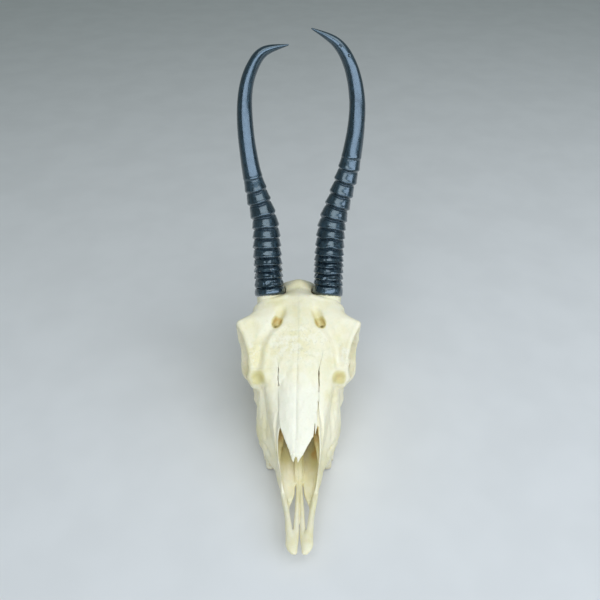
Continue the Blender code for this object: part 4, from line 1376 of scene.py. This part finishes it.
def makeHorn(label):
    sizes = hornSizes[label]
    run = np.array(inBetween(sizes["stations"], 40))
    arc = np.concatenate([[0], np.cumsum(np.linalg.norm(np.diff(run[:, :3], axis=0), axis=1))])
    total = arc[-1]
    distances = np.linspace(0, total, int(total / detail["hornStep"]))
    distances = np.concatenate([distances[:-3], total - np.array([0.6, 0.3, 0.08])])
    centres = np.stack([np.interp(distances, arc, run[:, i]) for i in range(3)], axis=1)
    halves = np.interp(distances, arc, run[:, 3])
    # the tip ends round
    toTip = np.clip((total - distances) / hornRelief["tipLength"], 0, 1)
    tip = 0.25 + hornRelief["tipHalf"] * np.sqrt(toTip) * (0.35 + 0.65 * toTip)
    halves = np.where(toTip < 1, np.minimum(halves, tip), halves)
    tangents = np.gradient(centres, axis=0)
    count = detail["hornAround"]
    angles = 2 * math.pi * np.arange(count) / count
    cosines, sines = np.cos(angles), np.sin(angles)
    collar, reach = sizes["collar"], hornRelief["unrolled"]
    edges = np.concatenate([[0, collar], collar + np.cumsum(sizes["rings"])])
    lastRing = edges[-1]
    wide = Vector(crosswise)
    points = np.empty((len(distances), count, 3))
    fibre = np.empty_like(points)
    groove = np.empty((len(distances), count))
    seed = sizes["seed"]
    aim = Vector(hornRoot["aim"])
    aim.x *= sides[label]
    aim.normalize()
    for i, (centre, distance, half) in enumerate(zip(centres, distances, halves)):
        blend = min(1, distance / hornRelief["straightUpTo"])
        ahead = (aim * (1 - blend) + Vector(tangents[i]).normalized() * blend).normalized()
        wide = (wide - ahead * wide.dot(ahead)).normalized()
        high = wide.cross(ahead)
        deep = hornRoot["depth"] + (1 - hornRoot["depth"]) * distance / total
        unrolled = np.column_stack([cosines * reach, sines * reach, np.full(count, distance)])

        # rings sway and tilt, and fade out above the last one
        grain, amount = hornRelief["sway"]
        sway = amount * latticeNoise(unrolled * (1, 1, 0.25), grain, seed) * float(fade(distance, 2, 10))
        spot = distance + hornRelief["tilt"] * half * sines + sway
        which = np.clip(np.searchsorted(edges, spot, side="right") - 1, 0, len(edges) - 2)
        share = (spot - edges[which]) / (edges[which + 1] - edges[which])
        rings = np.interp(share, *np.array(hornRelief["ringProfile"]).T)
        rings = rings * (hornRelief["sideShare"] + (1 - hornRelief["sideShare"]) * sines)
        rings = rings * fade(spot, collar - 0.4, collar + 0.6)
        rings = rings * (1 - fade(spot, lastRing - hornRelief["ringsFadeOver"], lastRing + 1))

        # a smooth collar with a rounded lower edge
        onCollar = 1 - fade(spot, collar - 1.2, collar + 0.4)
        lip = hornRelief["collarBulge"] * math.sin(math.pi * min(1, distance / collar))
        lip -= hornRelief["collarEdge"] * (1 - float(fade(distance, 0, 1.1)))

        # flaky near the base, fine fibres and broad lumps all over
        rough = 1 - float(fade(distance, hornRelief["roughUpTo"] - 16, hornRelief["roughUpTo"] + 10))
        grain, amount = hornRelief["flakes"]
        flakes = latticeNoise(unrolled * (1, 1, 1.6), grain, seed + 10) * rough * (1 - onCollar)
        radius = half + hornRelief["ringHeight"] * rings + lip * onCollar + amount * flakes
        grain, amount = hornRelief["fibres"]
        amount = (amount + hornRelief["roughFibres"] * rough) * min(1, half / 3)
        radius = radius + amount * latticeNoise(unrolled * (1, 1, 0.12), grain, seed + 20)
        grain, amount = hornRelief["lumps"]
        radius = radius + amount * min(1, half / 4) * latticeNoise(unrolled * (1, 1, 0.5), grain, seed + 30)
        radius = np.maximum(radius, 0.12)
        points[i] = centre + np.outer(cosines * radius, wide) + np.outer(sines * radius * deep, high)
        fibre[i] = unrolled
        # grooves between the rings and under the flakes, where dust and painted shade go and the horn is
        # duller
        groove[i] = np.clip(-rings * 1.5, 0, 1) + 0.5 * rough * np.clip(-flakes * 1.6, 0, 1)

    for spot, radius, depth in sizes["nicks"]:
        # old knocks: the surface is pushed towards the core
        gap = np.linalg.norm(points - spot, axis=2) / radius
        push = depth * np.clip(1 - gap**2, 0, 1)[..., None]
        inward = centres[:, None, :] - points
        points += inward / np.linalg.norm(inward, axis=2, keepdims=True) * push
    index = np.arange(points.size // 3).reshape(-1, count)
    follow = np.roll(index, -1, axis=1)
    faces = np.stack([index[:-1], follow[:-1], follow[1:], index[1:]], axis=-1).reshape(-1, 4).tolist()
    faces += [index[0][::-1].tolist(), index[-1].tolist()]
    obj = addFaces("horn_" + label, points.reshape(-1, 3), faces)
    layer = obj.data.attributes.new("fibre", "FLOAT_VECTOR", "POINT")
    layer.data.foreach_set("vector", (fibre.reshape(-1, 3) * mm).astype(np.float32).ravel())
    writeMask(obj, "groove", groove.ravel())
    writeMask(obj, "height", np.repeat(distances / total, count))
    return obj


print("melting the skull's forms together")
skull = makeSkull()
front = makeMuzzle()
print("sculpting", len(skull.data.vertices) + len(front.data.vertices), "points")
for slit in nasalSizes["slits"].values():
    carve(skull, slitBlade(slit))
carve(skull, slitBlade(nasalSizes["notch"]))
carve(front, slitBlade(nasalSizes["slits"]["open"]))
sculpt(skull)
sculpt(front)
nasals = takeNasals(skull)
for side in sides.values():
    carve(front, nasalPlate("region", side, sutures["gap"] / 2))
print("parting the bones along their sutures")
bones = partSkull(keepLargest(skull), keepLargest(front))
print("teeth and the inside of the nose")
teeth = {label: makeTeeth(label, side) for label, side in sides.items()}
noseInsides = makeNoseInsides()
print("horn sheaths")
horns = {label: makeHorn(label) for label in sides}


# Materials


def linear(hexColour):
    # sRGB hex to linear RGBA
    channels = [int(hexColour[i : i + 2], 16) / 255 for i in (1, 3, 5)]
    return (*[c / 12.92 if c <= 0.04045 else ((c + 0.055) / 1.055) ** 2.4 for c in channels], 1.0)


def addNode(tree, kind, settings):
    # settings are the node's own options, or its inputs by name or number: a socket is linked to them
    node = tree.nodes.new("ShaderNode" + kind)
    for key, value in settings.items():
        if isinstance(value, bpy.types.NodeSocket):
            tree.links.new(value, node.inputs[key])
        elif isinstance(key, str) and hasattr(node, key):
            setattr(node, key, value)
        else:
            node.inputs[key].default_value = value
    return node


def perMillimetre(size):
    # texture scale for a pattern whose grain is this many millimetres
    return 1 / (size * mm)


def startMaterial(name, settings):
    # settings stand on the shader's own sockets, because they are the same all over
    material = bpy.data.materials.new(name)
    material.use_nodes = True
    tree = material.node_tree
    tree.nodes.clear()
    shader = addNode(tree, "BsdfPrincipled", settings)
    addNode(tree, "OutputMaterial", {"Surface": shader.outputs["BSDF"]})
    return material, tree, shader.inputs


boneLooks = {
    "light": "#f8edca",
    "warm": "#ecdfa6",
    "cool": "#e8eacb",
    "white": "#fcf4da",
    "olive": "#dbcd88",
    "ochre": "#d0993f",
    "pore": "#d3c9a2",
    "noises": {  # grain in mm, octaves, roughness; real pores and fibres are 0.1 to 0.3 mm wide, too fine
        # to show from here, so the finest are drawn at 0.7 to 0.9 mm
        "clouds": (26, 3, 0.55),
        "patches": (7, 4, 0.55),
        "mottle": (5.0, 3, 0.6),
        "speckle": (1.76, 3, 0.6),
        "fibres": (0.7, 4, 0.6),
        "grain": (0.9, 4, 0.65),
    },
    "fibreDraw": (1, 0.16, 0.55),  # they run from front to back
    "poreMm": 1.1,
    "fibreDepth": 0.12,
    "grainDepth": 0.10,
    "poreDepth": 0.14,
    "roughness": 0.5,
    "shader": {
        "IOR": 1.55,
        "Subsurface Weight": 0.12,
        "Subsurface Radius": (1.0, 0.75, 0.45),
        "Subsurface Scale": 1.6 * mm,
    },
}


def bleachedBone(name, looks):
    # dry bone, boiled and bleached: chalky ivory with a faint sheen, soft light just under the surface,
    # and yellow to ochre stain inside the nose; in the other hollows the darkening is partly real stain and
    # partly painted shade, and under surfaces that face down it is painted shade
    material, tree, sockets = startMaterial(name, looks["shader"])
    spot = addNode(tree, "TexCoord", {}).outputs["Object"]
    source = {}
    for key in ("stain", "porous", "bleached"):
        source[key] = addNode(tree, "Attribute", {"attribute_name": key}).outputs["Fac"]
    drawn = addNode(tree, "VectorMath", {"operation": "MULTIPLY", 0: spot, 1: looks["fibreDraw"]}).outputs[0]
    for key, (size, octaves, roughness) in looks["noises"].items():
        settings = {"Vector": drawn if key == "fibres" else spot, "Scale": perMillimetre(size)}
        settings |= {"Detail": octaves, "Roughness": roughness}
        source[key] = addNode(tree, "TexNoise", settings).outputs["Fac"]
    settings = {"Vector": spot, "Scale": perMillimetre(looks["poreMm"])}
    source["pits"] = addNode(tree, "TexVoronoi", settings).outputs["Distance"]

    rough = looks["roughness"]
    ramps = {  # what it follows, from low to high of it, and the two ends that this gives
        "uneven": ("patches", 0.3, 0.7, 0.85, 1.1),
        "warm": ("clouds", 0.38, 0.68, 0.0, 0.75),
        "cool": ("patches", 0.5, 0.75, 0.0, 0.35),
        "mottled": ("mottle", 0.46, 0.6, 0.0, 1.0),
        "mottledShare": ("porous", 0.0, 1.0, 0.22, 0.6),
        "speckled": ("speckle", 0.52, 0.68, 0.0, 1.0),
        "speckledShare": ("porous", 0.0, 1.0, 0.10, 0.45),
        "pitted": ("pits", 0.0, 0.42, 0.0, 1.0),
        "pittedShare": ("porous", 0.0, 1.0, 0.25, 1.0),
        "gloss": ("patches", 0.3, 0.75, rough - 0.1, rough + 0.12),
        # olive, then ochre, where the mask of real stain and painted shade rises
        "olive": ("stainedAndShaded", 0.05, 0.55, 0.0, 0.9),
        "ochre": ("stainedAndShaded", 0.5, 1.0, 0.0, 0.85),
    }
    products = {  # each multiplies the ramp of its key: name of the product, the other factor
        "uneven": ("stainedAndShaded", "stain"),
        "mottledShare": ("mottles", "mottled"),
        "speckledShare": ("speckles", "speckled"),
        "pittedShare": ("pores", "pitted"),
    }
    for key, (follows, low, high, first, last) in ramps.items():
        settings = {"interpolation_type": "SMOOTHSTEP", "Value": source[follows]}
        settings |= {"From Min": low, "From Max": high, "To Min": first, "To Max": last}
        source[key] = addNode(tree, "MapRange", settings).outputs["Result"]
        if key in products:
            product, other = products[key]
            settings = {"operation": "MULTIPLY", 0: source[other], 1: source[key]}
            source[product] = addNode(tree, "Math", settings).outputs[0]

    colour = linear(looks["light"])
    layers = (
        *[("warm", "warm"), ("cool", "cool"), ("white", "bleached"), ("white", "mottles")],
        *[("pore", "speckles"), ("olive", "olive"), ("ochre", "ochre")],
    )
    for tint, share in layers:
        settings = {"data_type": "RGBA", 0: source[share], 6: colour, 7: linear(looks[tint])}
        colour = addNode(tree, "Mix", settings).outputs[2]
    tree.links.new(colour, sockets["Base Color"])
    tree.links.new(source["gloss"], sockets["Roughness"])

    settings = {"Strength": 1.0}
    for key, depth in (("fibres", "fibreDepth"), ("grain", "grainDepth"), ("pores", "poreDepth")):
        settings |= {"Distance": looks[depth] * mm, "Height": source[key]}
        settings["Normal"] = addNode(tree, "Bump", settings).outputs["Normal"]
    tree.links.new(settings["Normal"], sockets["Normal"])
    return material


toothLooks = {
    "enamel": "#f1ead0",
    "root": "#ddcf9c",
    "stain": "#8a6a35",
    "cloudMm": 4,
    "ridgeMm": 0.8,  # real growth ridges are half this, too fine to show
    "ridgeDraw": (1, 1, 0.2),
    "ridgeDepth": 0.10,
    "roughness": 0.28,
    "shader": {
        "IOR": 1.62,
        "Subsurface Weight": 0.1,
        "Subsurface Radius": (1.0, 0.8, 0.5),
        "Subsurface Scale": 1.0 * mm,
    },
}


def wornEnamel(looks):
    # tooth enamel, grown in fine upright ridges and worn flat: glossier than bone,
    # browned by plant juices in its folds
    material, tree, sockets = startMaterial("wornEnamel", looks["shader"])
    spot = addNode(tree, "TexCoord", {}).outputs["Object"]
    stain = addNode(tree, "Attribute", {"attribute_name": "stain"}).outputs["Fac"]
    settings = {"Vector": spot, "Scale": perMillimetre(looks["cloudMm"]), "Detail": 3, "Roughness": 0.55}
    clouds = addNode(tree, "TexNoise", settings).outputs["Fac"]
    drawn = addNode(tree, "VectorMath", {"operation": "MULTIPLY", 0: spot, 1: looks["ridgeDraw"]}).outputs[0]
    settings = {"Vector": drawn, "Scale": perMillimetre(looks["ridgeMm"]), "Detail": 4, "Roughness": 0.6}
    ridges = addNode(tree, "TexNoise", settings).outputs["Fac"]

    smoothly = {"interpolation_type": "SMOOTHSTEP"}
    settings = smoothly | {"Value": clouds, "From Min": 0.35, "From Max": 0.7, "To Max": 0.8}
    yellowed = addNode(tree, "MapRange", settings).outputs["Result"]
    settings = smoothly | {"Value": ridges, "From Min": 0.3, "From Max": 0.7, "To Min": 0.6, "To Max": 1.2}
    uneven = addNode(tree, "MapRange", settings).outputs["Result"]
    browned = addNode(tree, "Math", {"operation": "MULTIPLY", 0: stain, 1: uneven}).outputs[0]
    settings = smoothly | {"Value": browned, "From Min": 0.1, "From Max": 1.0, "To Max": 0.85}
    browned = addNode(tree, "MapRange", settings).outputs["Result"]
    settings = smoothly | {"Value": clouds, "From Min": 0.3, "From Max": 0.7}
    settings |= {"To Min": looks["roughness"], "To Max": looks["roughness"] + 0.2}
    gloss = addNode(tree, "MapRange", settings).outputs["Result"]

    colour = linear(looks["enamel"])
    for share, tint in ((yellowed, "root"), (browned, "stain")):
        settings = {"data_type": "RGBA", 0: share, 6: colour, 7: linear(looks[tint])}
        colour = addNode(tree, "Mix", settings).outputs[2]
    tree.links.new(colour, sockets["Base Color"])
    tree.links.new(gloss, sockets["Roughness"])
    settings = {"Strength": 1.0, "Distance": looks["ridgeDepth"] * mm, "Height": ridges}
    tree.links.new(addNode(tree, "Bump", settings).outputs["Normal"], sockets["Normal"])
    return material


hornLooks = {
    "dark": "#08131a",
    "slate": "#1c303b",
    # dust in the grooves, darker than the slate, so partly painted shade
    "dustAndShade": "#131e24",
    "strandMm": 0.55,  # real strands are 0.2 mm wide, too fine to show
    "strandDraw": (1, 1, 0.06),
    "strandDepth": 0.10,
    "flakeMm": 2.2,
    "flakeDraw": (1, 1, 0.5),
    "flakeDepth": 0.16,
    "roughness": 0.25,
    "grooveRoughness": 0.25,
    "shader": {
        "IOR": 1.54,
        "Specular IOR Level": 1.0,
        # painted reflection: all reflections are tinted blue, as if from a blue sky
        "Specular Tint": linear("#c6eeff"),
        "Coat Weight": 1.0,
        "Coat Roughness": 0.13,
    },
}


def blackKeratin(looks):
    # horn sheath, grown as packed keratin fibres and rubbed smooth: near black with a wet shine, whose
    # blue-grey is a painted reflection of a blue sky; dust in the grooves that is partly painted shade;
    # smoother towards the tip
    material, tree, sockets = startMaterial("blackKeratin", looks["shader"])
    fibre = addNode(tree, "Attribute", {"attribute_name": "fibre"}).outputs["Vector"]
    groove = addNode(tree, "Attribute", {"attribute_name": "groove"}).outputs["Fac"]
    height = addNode(tree, "Attribute", {"attribute_name": "height"}).outputs["Fac"]
    grains = {}
    for key in ("strand", "flake"):
        settings = {"operation": "MULTIPLY", 0: fibre, 1: looks[key + "Draw"]}
        drawn = addNode(tree, "VectorMath", settings).outputs[0]
        settings = {"Vector": drawn, "Scale": perMillimetre(looks[key + "Mm"]), "Detail": 4, "Roughness": 0.6}
        grains[key] = addNode(tree, "TexNoise", settings).outputs["Fac"]
    flakes = grains["flake"]

    smoothly = {"interpolation_type": "SMOOTHSTEP"}
    settings = smoothly | {"Value": flakes, "From Min": 0.4, "From Max": 0.7, "To Max": 0.8}
    slaty = addNode(tree, "MapRange", settings).outputs["Result"]
    settings = smoothly | {"Value": flakes, "From Min": 0.3, "From Max": 0.65, "To Min": 0.1, "To Max": 0.7}
    # dust and painted shade in the grooves
    groovesDustAndShade = addNode(tree, "MapRange", settings).outputs["Result"]
    groovesDustAndShade = addNode(tree, "Math", {"operation": "MULTIPLY", 0: groove, 1: groovesDustAndShade}).outputs[0]
    settings = smoothly | {"Value": flakes, "From Min": 0.35, "From Max": 0.7}
    settings |= {"To Min": looks["roughness"] - 0.06, "To Max": looks["roughness"] + 0.14}
    dull = addNode(tree, "MapRange", settings).outputs["Result"]
    settings = {"operation": "MULTIPLY_ADD", 0: groove, 1: looks["grooveRoughness"], 2: dull}
    dull = addNode(tree, "Math", settings).outputs[0]
    settings = smoothly | {"Value": height, "From Min": 0.12, "From Max": 0.5, "To Min": 1.0, "To Max": 0.03}
    calm = addNode(tree, "MapRange", settings).outputs["Result"]

    colour = linear(looks["dark"])
    for share, tint in ((slaty, "slate"), (groovesDustAndShade, "dustAndShade")):
        settings = {"data_type": "RGBA", 0: share, 6: colour, 7: linear(looks[tint])}
        colour = addNode(tree, "Mix", settings).outputs[2]
    tree.links.new(colour, sockets["Base Color"])
    tree.links.new(dull, sockets["Roughness"])
    settings = {"Strength": 1.0}
    for key, grain in grains.items():
        relief = addNode(tree, "Math", {"operation": "MULTIPLY", 0: grain, 1: calm}).outputs[0]
        settings |= {"Distance": looks[key + "Depth"] * mm, "Height": relief}
        settings["Normal"] = addNode(tree, "Bump", settings).outputs["Normal"]
    tree.links.new(settings["Normal"], sockets["Normal"])
    return material


def paint(obj, material, nodes, crease=50):
    obj.data.materials.clear()
    obj.data.materials.append(material)
    obj.data.shade_smooth()
    obj.data.set_sharp_from_angle(angle=math.radians(crease))
    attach(obj, "root")
    if nodes:
        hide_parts(*nodes)


def writeBoneMasks(piece, stain):
    # the nasal bones and the snout beside them dried whitest
    points, normals = readPoints(piece), readNormals(piece)
    across, back, up = points.T
    white = (1 - fade(back, 88, 116)) * (1 - fade(np.abs(across), 12, 21)) * fade(up, 36, 46)
    writeMask(piece, "stain", stain)
    writeMask(piece, "porous", forePorous(points, normals))
    writeMask(piece, "bleached", 0.85 * white)


print("materials")
bone = bleachedBone("bleachedBone", boneLooks)
noseBone = bleachedBone("smoothNasalBone", boneLooks | {"roughness": 0.42})
enamel = wornEnamel(toothLooks)
keratin = blackKeratin(hornLooks)

for name, piece in bones.items():
    writeBoneMasks(piece, stainAndShadeOf(readPoints(piece), readNormals(piece)))
    piece.name = name + "_bone"
    paint(piece, bone, [name])
for label, piece in nasals.items():
    # painted shade: the downward-facing undersides of the nasal plates are darkened towards olive and ochre
    writeBoneMasks(piece, 0.75 * fade(-readNormals(piece)[:, 2], 0.0, 0.5))
    piece.name = "nasal_" + label + "_bone"
    paint(piece, noseBone, ["nasal_" + label])
for label, piece in teeth.items():
    writeMask(piece, "stain", toothStain(readPoints(piece), readNormals(piece)))
    paint(piece, enamel, [])
for piece in noseInsides:
    across, back, up = readPoints(piece).T
    corner = fade(np.abs(across), 6, 11)
    writeMask(piece, "stain", 0.2 + (0.4 + 0.2 * corner) * fade(back, 54, 80))
    writeMask(piece, "porous", np.full(len(back), 0.2))
    writeMask(piece, "bleached", np.zeros(len(back)))
    paint(piece, bone, [])
for label, piece in horns.items():
    piece.name = "horn_" + label + "_sheath"
    paint(piece, keratin, ["horn_" + label], 70)


# Setting: pale floor, soft studio light and the camera.

setting = {
    "floor": "#e6e3dc",
    "floorCloud": "#dedbd4",
    "cloudMm": 60,
    "room": "#d5e9ee",
    "roomStrength": 0.27,
    "lightsAimAt": (0, 0, 0.1),
    "cameraPlace": (0.0, -0.3355, 0.3985),
    "pitchDown": 39.0,
    "lens": 36.0,
    "midlinePixel": 298.7,
    "imageWidth": 600,
}
softboxes = [  # name, place, width, height, power in watts, colour
    ("frontBox", (0.32, -0.82, 0.84), 3.2, 0.6, 19.2, "#dde9ff"),
    ("topBank", (0.10, -0.25, 1.2), 1.3, 0.5, 5.0, "#eef2f8"),
]


def makeFloor():
    bm = bmesh.new()
    bmesh.ops.create_grid(bm, x_segments=1, y_segments=1, size=4.0)
    floor = addObject("floor", bm)
    floor.location.z = -0.0002
    # emulsion paint, rolled on a board: matt and pale, with clouds too faint to draw the eye
    material, tree, sockets = startMaterial("rolledMattPaint", {"Roughness": 0.8})
    spot = addNode(tree, "TexCoord", {}).outputs["Object"]
    settings = {"Vector": spot, "Scale": perMillimetre(setting["cloudMm"]), "Detail": 2, "Roughness": 0.55}
    tone = addNode(tree, "TexNoise", settings).outputs["Fac"]
    settings = {"interpolation_type": "SMOOTHSTEP", "Value": tone}
    settings |= {"From Min": 0.3, "From Max": 0.7, "To Max": 0.5}
    share = addNode(tree, "MapRange", settings).outputs["Result"]
    settings = {"data_type": "RGBA", 0: share, 6: linear(setting["floor"]), 7: linear(setting["floorCloud"])}
    tree.links.new(addNode(tree, "Mix", settings).outputs[2], sockets["Base Color"])
    floor.data.materials.append(material)


def makeLights():
    world = bpy.data.worlds.new("room")
    world.use_nodes = True
    background = world.node_tree.nodes["Background"]
    background.inputs["Color"].default_value = linear(setting["room"])
    background.inputs["Strength"].default_value = setting["roomStrength"]
    bpy.context.scene.world = world
    for name, spot, width, height, power, colour in softboxes:
        light = bpy.data.lights.new(name, "AREA")
        light.shape = "RECTANGLE"
        light.size = width
        light.size_y = height
        light.energy = power
        light.color = linear(colour)[:3]
        lamp = bpy.data.objects.new(name, light)
        lamp.location = spot
        aim = Vector(setting["lightsAimAt"]) - Vector(spot)
        lamp.rotation_euler = aim.to_track_quat("-Z", "Y").to_euler()
        bpy.context.scene.collection.objects.link(lamp)


def makeCamera():
    camera = bpy.data.cameras.new("camera")
    camera.lens = setting["lens"]
    camera.sensor_width = 36.0
    camera.clip_start = 0.01
    camera.shift_x = (setting["imageWidth"] / 2 - setting["midlinePixel"]) / setting["imageWidth"]
    rig = bpy.data.objects.new("camera", camera)
    rig.location = setting["cameraPlace"]
    rig.rotation_euler = (math.radians(90 - setting["pitchDown"]), 0, 0)
    bpy.context.scene.collection.objects.link(rig)
    bpy.context.scene.camera = rig


print("floor, lights and camera")
makeFloor()
makeLights()
makeCamera()
bpy.context.scene.view_settings.view_transform = "Standard"

shown = sum(len(o.data.polygons) for o in bpy.data.objects if o.type == "MESH" and not o.hide_render)
print("polygons shown", shown)
